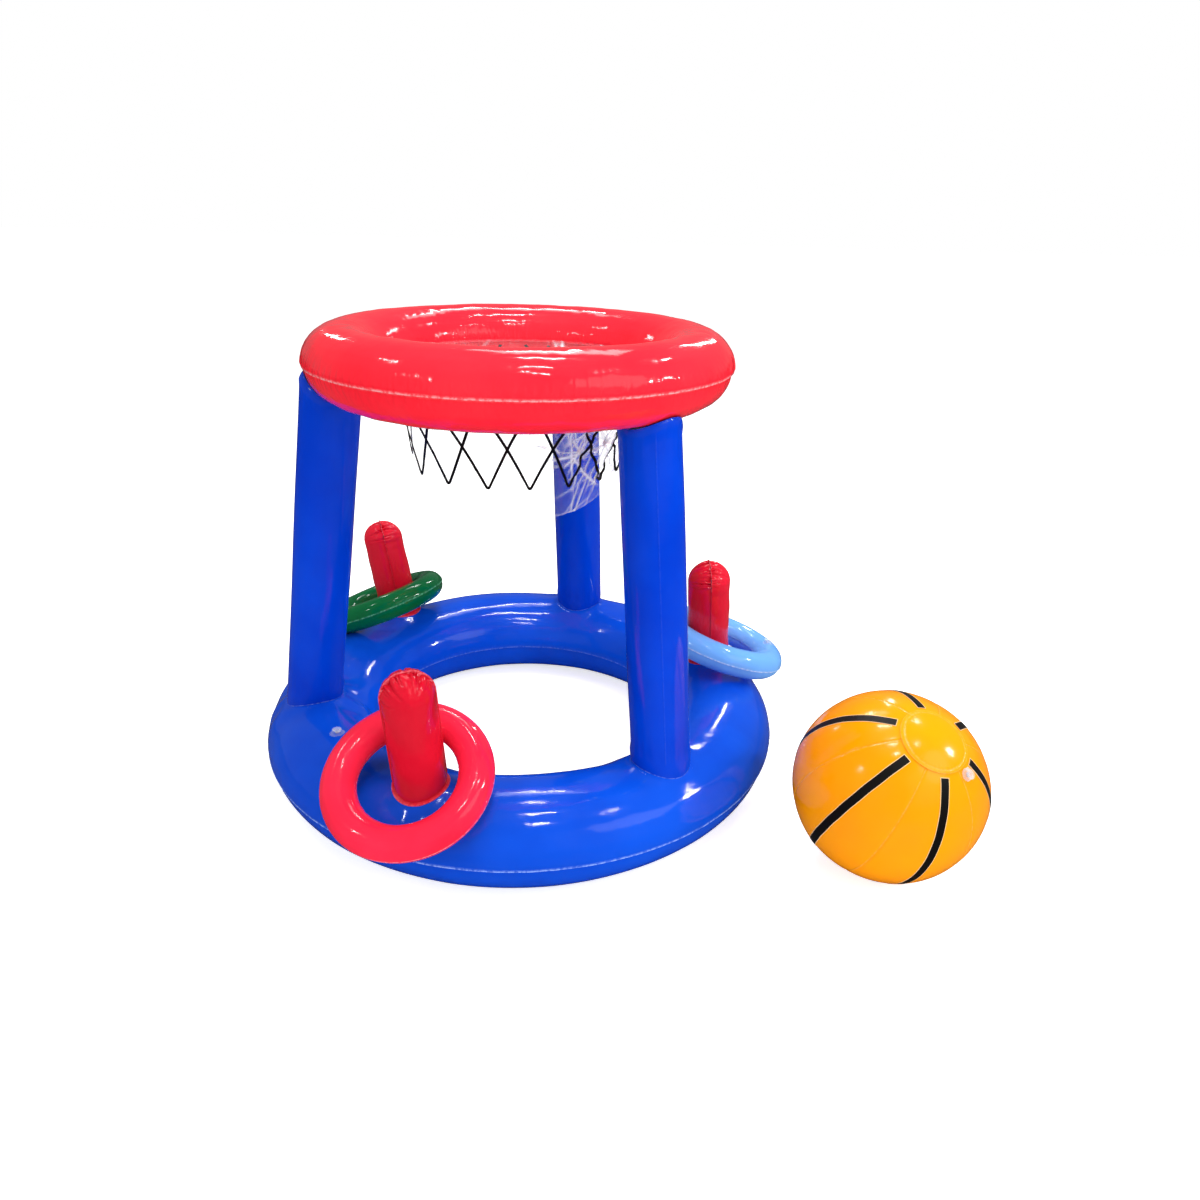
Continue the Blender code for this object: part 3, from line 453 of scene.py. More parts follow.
    # the weld line itself waves up and down, alike on both halves
    waveSpread = addNode(tree, "ShaderNodeVectorMath", {"operation": "SCALE"},
                         {0: spread.outputs[0], "Scale": 0.45})
    waveNoiseNode = addNode(tree, "ShaderNodeTexNoise", None,
                            {"Vector": waveSpread.outputs[0], "Scale": 1.0, "Detail": 2.0})
    waveCentred = addNode(tree, "ShaderNodeMath", {"operation": "SUBTRACT"},
                          {0: waveNoiseNode.outputs[0], 1: 0.5})
    waveDepth = addNode(tree, "ShaderNodeMath", {"operation": "MULTIPLY"},
                        {0: waveCentred.outputs[0], 1: given["Seam Wave"]})
    waveHere = addNode(tree, "ShaderNodeMath", {"operation": "MULTIPLY"},
                       {0: waveDepth.outputs[0], 1: near.outputs[0]})
    waveUp = addNode(tree, "ShaderNodeCombineXYZ", None, {"Z": waveHere.outputs[0]})
    total = addNode(tree, "ShaderNodeVectorMath", {"operation": "ADD"},
                    {0: move.outputs[0], 1: waveUp.outputs[0]})
    # amount of lighter weld colour, partly a painted highlight: whole on the lip, fading over the pressed edge beside
    # it, and weaker on the inner weld as painted shade
    edge = addNode(tree, "ShaderNodeMapRange", {"interpolation_type": "SMOOTHSTEP"},
                   {"Value": height.outputs[0], "From Min": 0.0003, "From Max": 0.0015,
                    "To Min": 0.30, "To Max": 0.0})
    pressed = addNode(tree, "ShaderNodeMath", {"operation": "MAXIMUM"}, {0: edge.outputs[0], 1: lip.outputs[0]})
    weldHighlightShare = addNode(tree, "ShaderNodeMix", {"data_type": "FLOAT"}, {0: outside.outputs[0], 2: 0.22, 3: 0.85})
    weld = addNode(tree, "ShaderNodeMath", {"operation": "MULTIPLY"},
                   {0: pressed.outputs[0], 1: weldHighlightShare.outputs[0]})
    marked = addNode(tree, "GeometryNodeStoreNamedAttribute", {"data_type": "FLOAT", "domain": "POINT"},
                     {"Geometry": swept.outputs["Mesh"], "Name": "weld", "Value": weld.outputs[0]})
    shaped = addNode(tree, "GeometryNodeSetPosition", None,
                     {"Geometry": marked.outputs[0], "Offset": total.outputs[0]})
    smooth = addNode(tree, "GeometryNodeSetShadeSmooth", None, {"Geometry": shaped.outputs[0]})
    real = addNode(tree, "GeometryNodeRealizeInstances", None, {"Geometry": smooth.outputs[0]})
    coloured = addNode(tree, "GeometryNodeSetMaterial", None,
                       {"Geometry": real.outputs[0], "Material": given["Film"]})
    addNode(tree, "NodeGroupOutput", None, {"Geometry": coloured.outputs[0]})
    return tree


def runTree(name, tree, values):
    # gives an empty mesh the tree with these inputs, and takes the result off as a plain mesh
    holder = bpy.data.objects.new(name + "Holder", bpy.data.meshes.new(name + "Holder"))
    bpy.context.scene.collection.objects.link(holder)
    modifier = holder.modifiers.new("shape", "NODES")
    modifier.node_group = tree
    sockets = {item.name: item.identifier for item in tree.interface.items_tree if item.in_out == "INPUT"}
    for label, value in values.items():
        modifier[sockets[label]] = value
    bpy.context.view_layer.update()
    graph = bpy.context.evaluated_depsgraph_get()
    mesh = bpy.data.meshes.new_from_object(holder.evaluated_get(graph))
    bpy.data.objects.remove(holder)
    return mesh


def sectionCurve(name, points):
    # closed section as a curve object, for a tree to sweep
    curve = bpy.data.curves.new(name, "CURVE")
    spline = curve.splines.new("POLY")
    spline.points.add(len(points) - 1)
    for point, (x, y) in zip(spline.points, points):
        point.co = (x, y, 0, 1)
    spline.use_cyclic_u = True
    holder = bpy.data.objects.new(name, curve)
    bpy.context.scene.collection.objects.link(holder)
    return holder


def halfSection(ring, side, count):
    # outline of one film half across the tube, with its weld lips and the flat side in the weld plane
    width, height = ring["halfWidth"], ring["halfHeight"]
    low = seams["halfGap"]
    high = low + seams["lipThickness"] * 0.5
    first = math.asin(high / height)
    rises = [first + (math.pi - 2 * first) * i / (count - 1) for i in range(count)]
    tip = width + ring["lip"] * seams["lipShownShare"]
    outline = [(tip, low), (tip, high)]
    outline += [(width * math.cos(rise), height * math.sin(rise)) for rise in rises]
    outline += [(-tip, high), (-tip, low)]
    return [(x, -side * z) for x, z in outline]


filmHalves = {
    "base_ring": {"film": "blue", "body": "root", "steps": 1200, "points": 60, "puckerSpacing": 0.010,
                  "puckerReach": 0.009, "outerPucker": 0.0005, "innerPucker": 0.0006, "seamWave": 0.0014,
                  "rippleDepth": 0.0011, "swaySpacing": 0.12, "swayDepth": 0.0014},
    "hoop_ring": {"film": "red", "body": "root", "steps": 1100, "points": 50, "puckerSpacing": 0.009,
                  "puckerReach": 0.014, "outerPucker": 0.0011, "innerPucker": 0.0009, "seamWave": 0.0012,
                  "rippleDepth": 0.0010, "swaySpacing": 0.036, "swayDepth": 0.0020},
    "red_ring": {"film": "rose", "slot": "red_film", "body": "red_ring", "steps": 420, "points": 30,
                 "puckerSpacing": 0.008, "puckerReach": 0.005, "outerPucker": 0.0003,
                 "innerPucker": 0.0007, "seamWave": 0.0006, "rippleDepth": 0.0005,
                 "swaySpacing": 0.05, "swayDepth": 0.0005},
    "green_ring": {"film": "green", "body": "green_ring", "steps": 420, "points": 30, "puckerSpacing": 0.008,
                   "puckerReach": 0.005, "outerPucker": 0.0004, "innerPucker": 0.0007, "seamWave": 0.0006,
                   "rippleDepth": 0.0006, "swaySpacing": 0.04, "swayDepth": 0.0006},
    "light_blue_ring": {"film": "light_blue", "body": "light_blue_ring", "steps": 420, "points": 30,
                        "puckerSpacing": 0.008, "puckerReach": 0.005, "outerPucker": 0.0003,
                        "innerPucker": 0.0007, "seamWave": 0.0006, "rippleDepth": 0.0005,
                        "swaySpacing": 0.05, "swayDepth": 0.0005},
}

ringTree = buildRingTree()


def buildFilmHalf(name, side, seed):
    make, ring = filmHalves[name], rings[name]
    section = sectionCurve(name + "Section", halfSection(ring, side, make["points"]))
    mesh = runTree(name, ringTree, {
        "Section": section, "Film": films[make["film"]], "Steps": make["steps"],
        "Ring Radius": ring["pitch"], "Tube Half Width": ring["halfWidth"] + 0.00001,
        "Pucker Spacing": make["puckerSpacing"], "Pucker Reach": make["puckerReach"],
        "Outer Pucker": make["outerPucker"], "Inner Pucker": make["innerPucker"],
        "Seam Wave": make["seamWave"], "Ripple Depth": make["rippleDepth"],
        "Sway Spacing": make["swaySpacing"], "Sway Depth": make["swayDepth"], "Seed": seed,
    })
    bpy.data.objects.remove(section)
    return mesh


# Feet: where legs and pegs stand on the base ring, and how the film sinks round them

legs = {
    "diameter": 0.0735, "patchReachShare": 0.96,
    # the foot's weld amount lightens its rim: partly the pressed weld, partly a painted highlight
    "foot": {"share": 0.97, "shoulder": 0.016, "lip": 0.0040, "weld": 1.0},
    "head": {"share": 0.965, "shoulder": 0.009, "lip": 0.0002, "weld": 0.0},
    "places": {
        "leg_left": {"footAzimuth": 189.0, "footOffset": 0.0144, "headAzimuth": 189.0,
                     "headOffset": 0.0120, "lap": 60.0},
        "leg_front": {"footAzimuth": -54.2, "footOffset": 0.0089, "headAzimuth": -48.4,
                      "headOffset": -0.0060, "lap": -88.0},
        "leg_back": {"footAzimuth": 70.3, "footOffset": 0.0089, "headAzimuth": 70.3,
                     "headOffset": 0.0110, "lap": 20.0},
    },
    "sides": 144, "bodyRows": 60, "lapWidth": 0.0013, "lapHeight": 0.00025,
    "gatherDepth": 0.0004, "gatherReach": 0.018, "gathers": 23, "swayDepth": 0.0007,
}

pegs = {
    "diameter": 0.061, "height": 0.153, "footShare": 0.97, "shoulderHeight": 0.010,
    "places": {
        "peg_front": {"azimuth": -114.2, "offset": 0.0033, "lean": (-0.058, -0.096), "weld": 196.0},
        "peg_back_left": {"azimuth": 131.1, "offset": 0.0120, "lean": (-0.179, 0.152), "weld": -76.0},
        "peg_back_right": {"azimuth": 10.8, "offset": 0.0051, "lean": (-0.065, -0.051), "weld": -94.0},
    },
    "finWidth": 0.0010, "arcPoints": 44, "domeRows": 36, "bodyRows": 40,
    "gatherDepth": 0.0054, "gatherSpacing": 0.0086, "gatherReach": 0.019, "finWave": 0.0011,
    "lipRise": 0.0006,
}


def landOn(ring, points, axis, side, clearance):
    # moves points along an axis until they lie on a ring's upper (1) or under (-1) surface
    spots = np.array(points, dtype=float)
    axis = np.array(axis)
    width, height = ring["halfWidth"] + clearance, ring["halfHeight"] + clearance
    for _ in range(60):
        across = np.hypot(spots[:, 0], spots[:, 1]) - ring["pitch"]
        level = np.maximum(0.0, 1 - (across / width) ** 2)
        miss = ring["height"] + side * height * np.sqrt(level) - spots[:, 2]
        spots += np.outer(0.7 * miss / axis[2], axis)
    return spots


def pegFrame(place):
    foot = around(baseRing["pitch"] + place["offset"], place["azimuth"], baseRing["height"])
    axis = Vector((*place["lean"], 1)).normalized()
    return Vector(landOn(baseRing, [foot], axis, 1, 0.0)[0]), axis


def legFrame(place):
    foot = around(baseRing["pitch"] + place["footOffset"], place["footAzimuth"], baseRing["height"])
    head = around(hoopRing["pitch"] + place["headOffset"], place["headAzimuth"], hoopRing["height"])
    return foot, head, (head - foot).normalized()


def footCircles():
    # point on each foot's axis, the axis, and the radius of its weld
    circles = []
    for place in legs["places"].values():
        foot, head, axis = legFrame(place)
        circles.append((foot, axis, legs["diameter"] / 2 * legs["foot"]["share"] + seams["footLip"]))
    for place in pegs["places"].values():
        foot, axis = pegFrame(place)
        circles.append((foot, axis, pegs["diameter"] / 2 * pegs["footShare"] + seams["footLip"]))
    return circles


# one crease share for each foot: legs left, front, back, then pegs front, back left, back right
footDents = {"depth": 0.0026, "reach": 0.021, "creases": 6, "creaseTurn": 1.7,
             "creaseShares": (0.75, 0.16, 0.35, 0.30, 0.35, 0.30)}


def sinkRoundFeet(points, circles, ring, dents):
    # pulls the base's film in beside each foot, in a ring of soft dents with creases running out of it
    onTop = np.clip((points[:, 2] - ring["height"]) / (ring["halfHeight"] * 0.4), 0, 1)
    sunk = points.copy()
    for number, (foot, axis, radius) in enumerate(circles):
        away = points - np.array(foot)
        axis = np.array(axis)
        flat = away - np.outer(away @ axis, axis)
        distance = np.linalg.norm(flat, axis=1)
        beyond = np.maximum(distance - radius, 0) / dents["reach"]
        bearing = np.arctan2(flat[:, 1], flat[:, 0])
        swing = bearing * dents["creases"] + number * dents["creaseTurn"] + 1.5 * np.sin(bearing * 2 + number)
        crease = 1 + dents["creaseShares"][number] * np.sin(swing)
        depth = dents["depth"] * beyond * np.exp(1 - beyond) * crease * onTop
        sunk -= np.outer(depth, axis)
    return sunk


# Base ring and hoop ring, the toss rings

for seed, name in enumerate(filmHalves):
    make, ring = filmHalves[name], rings[name]
    for ending, side in (("_top", 1), ("_bottom", -1)):
        mesh = buildFilmHalf(name, side, 3.7 * seed + 1.3)
        points = meshPoints(mesh)
        if name == "base_ring":
            lifted = points + np.array((0, 0, ring["height"]))
            if side > 0:
                lifted = sinkRoundFeet(lifted, footCircles(), ring, footDents)
            lifted[:, 2] = np.maximum(lifted[:, 2], 0.0)
            setPoints(mesh, lifted)
            matrix = toMiddle
        elif name == "hoop_ring":
            setPoints(mesh, points + np.array((0, 0, ring["height"])))
            matrix = toMiddle
        else:
            matrix = ringMatrix(ring)
        finishPiece(name + ending + "_film", mesh, films[make["film"]], make["body"],
                    make.get("slot", make["film"] + "_film"), matrix=matrix)
    print("film ring", name, "done")


# Legs

def landedRing(ring, centre, axis, first, second, angles, radius, side, clearance):
    rim = [centre + (first * math.cos(a) + second * math.sin(a)) * radius for a in angles]
    return landOn(ring, rim, axis, side, clearance)


def legEndRows(ring, centre, axis, first, second, angles, side, end, shift):
    # rows of one leg end: weld patch, lip, and the neck that swells to the tube's full width
    radius = legs["diameter"] / 2
    endRadius = radius * end["share"]
    lipRadius = endRadius + end["lip"]
    lipTop = seams["touchGap"] + seams["lipThickness"]
    plan = [(lipRadius * s, seams["touchGap"], 0.0, 1.0, 0.0) for s in (0.3, 0.55, 0.75, 0.9, 1.0)]
    plan += [(lipRadius, lipTop, 0.0, 1.0, end["weld"])]
    plan += [(endRadius + end["lip"] * 0.3, lipTop, 0.0, 1.0, end["weld"])]
    steps = 9
    for i in range(steps + 1):
        t = i / steps
        swell = math.sin(t * math.pi / 2) ** 0.7
        rise = end["shoulder"] * t ** 1.25
        fading = end["weld"] * max(0.0, 0.6 - 3 * t)
        plan.append((endRadius + (radius - endRadius) * swell, lipTop, rise, 1 - t, fading))
    rows, welds = [], []
    flats = np.array([first * math.cos(a) + second * math.sin(a) for a in angles])
    for circleRadius, clearance, rise, shiftShare, weld in plan:
        reach = min(circleRadius, lipRadius)
        points = landedRing(ring, centre - first * shift, axis, first, second, angles, reach, side, clearance)
        points = points + flats * (circleRadius - reach)
        points += np.array(first) * (shift * (1 - shiftShare)) + np.array(axis) * (side * rise)
        rows.append(points)
        welds.append(np.full(len(angles), weld))
    return rows, welds


def headShift(place):
    # how far inward of the leg's axis its head is welded, so that it stays on the tube's underside
    reach = legs["diameter"] / 2 * legs["head"]["share"] + legs["head"]["lip"]
    room = max(0.0, hoopRing["halfWidth"] * legs["patchReachShare"] - reach)
    return place["headOffset"] - max(-room, min(room, place["headOffset"]))


def buildLeg(name, place, seed):
    foot, head, axis = legFrame(place)
    first, second = frameAlong(axis, around(1, place["headAzimuth"]))
    radius = legs["diameter"] / 2
    lapMiddle = math.radians(place["lap"] - place["headAzimuth"])
    half, step = legs["lapWidth"] / 2 / radius, 0.0003 / radius
    edges = [lapMiddle - half - step, lapMiddle - half, lapMiddle + half, lapMiddle + half + step]
    angles = [2 * math.pi * i / legs["sides"] for i in range(legs["sides"])]
    angles = sorted(a % (2 * math.pi) for a in angles + edges)
    footRows, footWelds = legEndRows(baseRing, foot, axis, first, second, angles, 1, legs["foot"], 0.0)
    headRows, headWelds = legEndRows(hoopRing, head, axis, first, second, angles, -1, legs["head"],
                                     headShift(place))
    low, high = footRows[-1], headRows[-1]
    rows, welds = list(footRows), list(footWelds)
    turns = np.array(angles)
    onLap = np.abs((turns - lapMiddle + math.pi) % (2 * math.pi) - math.pi) < half + step / 2
    flats = np.array([first * math.cos(a) + second * math.sin(a) for a in angles])
    length = np.linalg.norm(high - low, axis=1)
    for i in range(1, legs["bodyRows"]):
        t = i / legs["bodyRows"]
        row = low + (high - low) * t
        along = length * t
        end = np.minimum(along, length - along)
        wave = np.sin(turns * legs["gathers"] + 2.2 * np.sin(turns * 3 + seed))
        gather = legs["gatherDepth"] * np.exp(-end / legs["gatherReach"]) * wave
        spots = np.column_stack((along / 5, np.cos(turns) * radius, np.sin(turns) * radius))
        sway = legs["swayDepth"] * waveNoise(spots, 0.045, seed)
        bulge = gather + sway - legs["swayDepth"] + onLap * legs["lapHeight"]
        rows.append(row + flats * bulge[:, None])
        # a faint lighter weld colour on the lap strip, a painted highlight along it
        welds.append(onLap * 0.02)
    rows += headRows[::-1]
    welds += headWelds[::-1]
    mesh = meshFromRows(name, rows, weld=welds)
    return finishPiece(name + "_film", mesh, films["shadedBlue"], "root", "blue_film", matrix=toMiddle)


for seed, (name, place) in enumerate(legs["places"].items()):
    buildLeg(name, place, seed + 11)
print("legs done")


# Pegs: two panels each, welded in a fin that runs over the dome

def pegSection(radius, lip, points):
    # half section of a peg: (along the weld, away from it), from one fin tip over to the other
    low = seams["halfGap"]
    high = low + seams["lipThickness"] * 0.5
    first = math.asin(min(1.0, high / radius)) if radius > high else math.pi / 2
    rises = [first + (math.pi - 2 * first) * i / (points - 1) for i in range(points)]
    half = [(radius + lip, low), (radius + lip, high)]
    half += [(radius * math.cos(rise), radius * math.sin(rise)) for rise in rises]
    half += [(-radius - lip, high), (-radius - lip, low)]
    return np.array(half)


def buildPegPanel(name, place, side, seed):
    foot, axis = pegFrame(place)
    along, across = frameAlong(axis, around(1, place["weld"]))
    along, across, axisArray, footArray = (np.array(v) for v in (along, across, axis, foot))
    radius = pegs["diameter"] / 2
    endRadius = radius * pegs["footShare"]
    lipRadius = endRadius + seams["footLip"]
    lipTop = seams["touchGap"] + seams["lipThickness"] + pegs["lipRise"]
    count = pegs["arcPoints"]
    plan = [(lipRadius * s, 0.0, seams["touchGap"], 0.0, 0.0) for s in (0.3, 0.55, 0.75, 0.9, 1.0)]
    # the foot lip's weld amounts lighten the rim: partly the pressed weld, partly a painted highlight
    plan += [(lipRadius, 0.0, lipTop, 0.0, 0.7), (lipRadius - 0.0012, 0.0, lipTop, 0.0, 0.3)]
    plan += [(endRadius + 0.001, 0.0, lipTop, 0.0, 0.1)]
    steps = 6
    for i in range(steps + 1):
        t = i / steps
        swell = endRadius + (radius - endRadius) * math.sin(t * math.pi / 2)
        plan.append((swell, pegs["finWidth"] * t, lipTop, pegs["shoulderHeight"] * t ** 1.2,
                     max(0.0, 0.2 - t)))
    rows, welds, heights = [], [], []
    for circleRadius, lip, clearance, rise, weld in plan:
        section = pegSection(circleRadius, lip, count)
        rim = footArray + np.outer(section[:, 0], along) + np.outer(section[:, 1] * side, across)
        rows.append(landOn(baseRing, rim, axis, 1, clearance) + axisArray * rise)
        welds.append(np.full(len(section), weld))
    domeStart = pegs["height"] - radius
    low = rows[-1]
    section = pegSection(radius, pegs["finWidth"], count)
    high = footArray + np.outer(section[:, 0], along) + np.outer(section[:, 1] * side, across)
    high = high + axisArray * domeStart
    onFin = np.zeros(len(section))
    onFin[[0, 1, -2, -1]] = 1.0
    for i in range(1, pegs["bodyRows"]):
        rows.append(low + (high - low) * (i / pegs["bodyRows"]))
        welds.append(onFin * 0.15)
    for i in range(pegs["domeRows"] + 1):
        angle = math.pi / 2 * i / pegs["domeRows"]
        shrink, climb = math.cos(angle), math.sin(angle)
        section = pegSection(max(radius * shrink, 0.0), pegs["finWidth"] * shrink, count)
        reach = radius + pegs["finWidth"] * onFin
        row = footArray + np.outer(section[:, 0], along) + np.outer(section[:, 1] * side, across)
        rows.append(row + np.outer(domeStart + reach * climb, axisArray))
        welds.append(onFin)
    rows = gatherPeg(np.array(rows), footArray, along, across * side, axisArray, domeStart, onFin, seed)
    mesh = meshFromRows(name, rows, weld=np.array(welds) * 0.6)
    return finishPiece(name + "_film", mesh, films["shadedRed"], "root", "red_film", matrix=toMiddle)


def gatherPeg(rows, foot, along, across, axis, domeStart, onFin, seed):
    # folds the film into the weld: grooves square to it, deep over the dome and faint below
    radius = pegs["diameter"] / 2
    points = rows.reshape(-1, 3)
    away = points - foot
    u, v, height = away @ along, away @ across, away @ axis
    above = np.maximum(height - domeStart, 0)
    path = np.where(height > domeStart, np.arctan2(u, above) * radius,
                    np.sign(u) * (radius * math.pi / 2 + domeStart - height))
    beat = path / pegs["gatherSpacing"] + 0.55 * np.sin(path * 310 + seed) + 0.4 * np.sin(path * 127 + 2 * seed)
    groove = (1 - np.abs(np.sin(math.pi * beat))) ** 1.2
    overDome = np.exp(-np.maximum(np.abs(path) - radius * 1.25, 0) / 0.012)
    strength = 0.03 + 0.97 * overDome
    strength *= 0.65 + 0.35 * np.sin(path * 190 + seed * 3)
    nearWeld = np.exp(-(v / (pegs["gatherReach"] * (0.8 + 0.4 * np.sin(path * 530 + seed)))) ** 2)
    fin = np.tile(onFin, rows.shape[0])
    foothold = np.clip((height - 0.004) / 0.012, 0, 1)
    depth = pegs["gatherDepth"] * groove * nearWeld * strength * (1 - fin) * foothold
    out = away - np.outer(np.minimum(height, domeStart), axis)
    out /= np.maximum(np.linalg.norm(out, axis=1), 1e-6)[:, None]
    sway = 0.0006 * (waveNoise(points, 0.035, int(seed) + 5) - 1) * (1 - fin) * foothold
    points = points + out * (sway - depth)[:, None]
    wave = pegs["finWave"] * np.sin(path / 0.0021 + seed) * np.sin(path / 0.0083) * foothold * strength
    points += np.outer(wave * np.exp(-(v / 0.003) ** 2), across)
    return points.reshape(rows.shape)


for seed, (name, place) in enumerate(pegs["places"].items()):
    for ending, side in (("_panel_1", 1), ("_panel_2", -1)):
        buildPegPanel(name + ending, place, side, seed * 2.0 + 0.5 * side + 3)
print("pegs done")


# Net skirt: a crumpled sleeve of clear film, and the net printed on it

skirt = {
    "length": 0.1695, "thickness": 0.00025, "weldRise": 0.003,
    "footWidth": 0.266, "footDepth": 0.228, "footShift": 0.004, "taperPower": 2.2,
    "folds": ((-22.0, 12.0, 0.011), (-52.0, 11.0, 0.004), (96.0, 16.0, 0.006), (205.0, 14.0, 0.003)),
    "columns": 560, "rows": 84, "creases": 230, "creaseDepth": 0.0032, "seed": 21,
    "hemLift": 0.034, "hemLiftAzimuth": 5.0, "hemLiftSpread": 50.0,
    "crumpleFrom": -76.0, "crumpleTo": 84.0,
}


def skirtRadius(degrees, drop):
    top = hoopRing["pitch"] - hoopRing["halfWidth"] - seams["ringLip"] - 0.0003
    angle = np.radians(degrees)
    share = np.clip(drop / skirt["length"], 0, 1)
    foot = 1 / np.hypot(np.cos(angle) / (skirt["footWidth"] / 2), np.sin(angle) / (skirt["footDepth"] / 2))
    foot = foot - skirt["footShift"] * np.cos(angle)
    radius = foot + (top - foot) * (1 - share) ** skirt["taperPower"]
    for azimuth, spread, depth in skirt["folds"]:
        away = (degrees - azimuth + 180) % 360 - 180
        radius = radius - depth * share * np.exp(-(away / spread) ** 2)
    return radius


def skirtCreases(degrees, drop):
    # sharp random creases, thickest on the side that is crushed: how far each point moves, and how much painted glint
    # lies along it
    random = np.random.default_rng(skirt["seed"])
    across, down = degrees * 0.0024, drop
    push, creaseGlint = np.zeros_like(across), np.zeros_like(across)
    for _ in range(skirt["creases"]):
        inside = random.uniform() < 0.72
        span = (skirt["crumpleFrom"], skirt["crumpleTo"]) if inside else (-180.0, 180.0)
        centreX = random.uniform(*span) * 0.0024
        centreY = random.uniform(0.01, skirt["length"])
        tilt, length = random.uniform(0, math.pi), random.uniform(0.014, 0.048)
        width = random.uniform(0.0025, 0.0075)
        x = (across - centreX + 0.432) % 0.864 - 0.432
        y = down - centreY
        alongIt = x * math.cos(tilt) + y * math.sin(tilt)
        besideIt = -x * math.sin(tilt) + y * math.cos(tilt)
        ends = np.exp(-(alongIt / length) ** 4)
        push += random.choice((-1.0, 0.8)) * np.exp(-np.abs(besideIt) / width) * ends
        creaseGlint += np.exp(-(besideIt / 0.0014) ** 2) * ends * random.uniform(0.2, 1.0) ** 2
    crushed = np.exp(-np.maximum(np.abs((degrees - 4 + 180) % 360 - 180) - 70, 0) / 12)
    free = np.clip(drop / 0.02, 0, 1)
    return push * skirt["creaseDepth"] * (0.16 + 0.84 * crushed) * free, creaseGlint * (0.12 + 0.88 * crushed)


def buildSkirt():
    degrees = np.linspace(-180, 180, skirt["columns"], endpoint=False)
    drops = np.linspace(-skirt["weldRise"], skirt["length"], skirt["rows"])
    turn, drop = np.meshgrid(degrees, drops)
    push, creaseGlint = skirtCreases(turn, drop)
    hem = np.clip((skirt["length"] - drop) / 0.006, 0, 1)
    outer = skirtRadius(turn, drop) + np.minimum(push, 0.0006)
    hemDrop = drop + (1 - hem) * 0.0018 * np.sin(np.radians(turn) * 7 + 1.2 * np.sin(np.radians(turn) * 3))
    fromLift = (turn - skirt["hemLiftAzimuth"] + 180) % 360 - 180
    lifted = skirt["hemLift"] * np.exp(-(fromLift / skirt["hemLiftSpread"]) ** 4)
    hemDrop = np.minimum(hemDrop, skirt["length"]) - lifted * np.clip(drop / skirt["length"], 0, 1) ** 2
    walls, creaseGlints = [], []
    for radius in (outer, outer - skirt["thickness"]):
        angle = np.radians(turn)
        wall = np.stack((radius * np.cos(angle), radius * np.sin(angle), hoopRing["height"] - hemDrop), axis=-1)
        walls.append(wall)
        creaseGlints.append(creaseGlint + 0.14 * (1 - hem))
    rows = np.concatenate((walls[0], walls[1][::-1]))
    count, columns = rows.shape[:2]
    faces = gridFaces(count, columns)
    faces += [(i, (count - 1) * columns + i, (count - 1) * columns + (i + 1) % columns, (i + 1) % columns)
              for i in range(columns)]
    mesh = bpy.data.meshes.new("net_skirt")
    mesh.from_pydata(rows.reshape(-1, 3).tolist(), [], faces)
    # the crease attribute holds the painted glints along the creases, with a faint light line along the hem
    amount = np.clip(np.concatenate((creaseGlints[0], creaseGlints[1][::-1])).reshape(-1), 0, 1)
    mesh.attributes.new("crease", "FLOAT", "POINT").data.foreach_set("value", amount)
    wall = walls[0]
    edgeA, edgeB = np.roll(wall, -1, axis=1)[:-1] - wall[:-1], wall[1:] - wall[:-1]
    area = np.linalg.norm(np.cross(edgeA, edgeB), axis=-1).sum()
    print("skirt area", round(float(area), 4), "square metres")
    piece = finishPiece("net_skirt_film", mesh, clearSkirt, "root", "clear_film", matrix=toMiddle)
    return piece


skirtPiece = buildSkirt()
print("skirt done")

net = {"meshes": 15, "tipAzimuth": -109.8, "topDrop": 0.004, "tipDrop": 0.1335, "lineWidth": 0.0036,
       "armMeshes": 1.25, "backShortening": 0.38, "thickness": 0.0011, "lift": 0.00012,
       "tipRounding": 0.0030, "unrolledRadius": 0.150, "steps": 190}


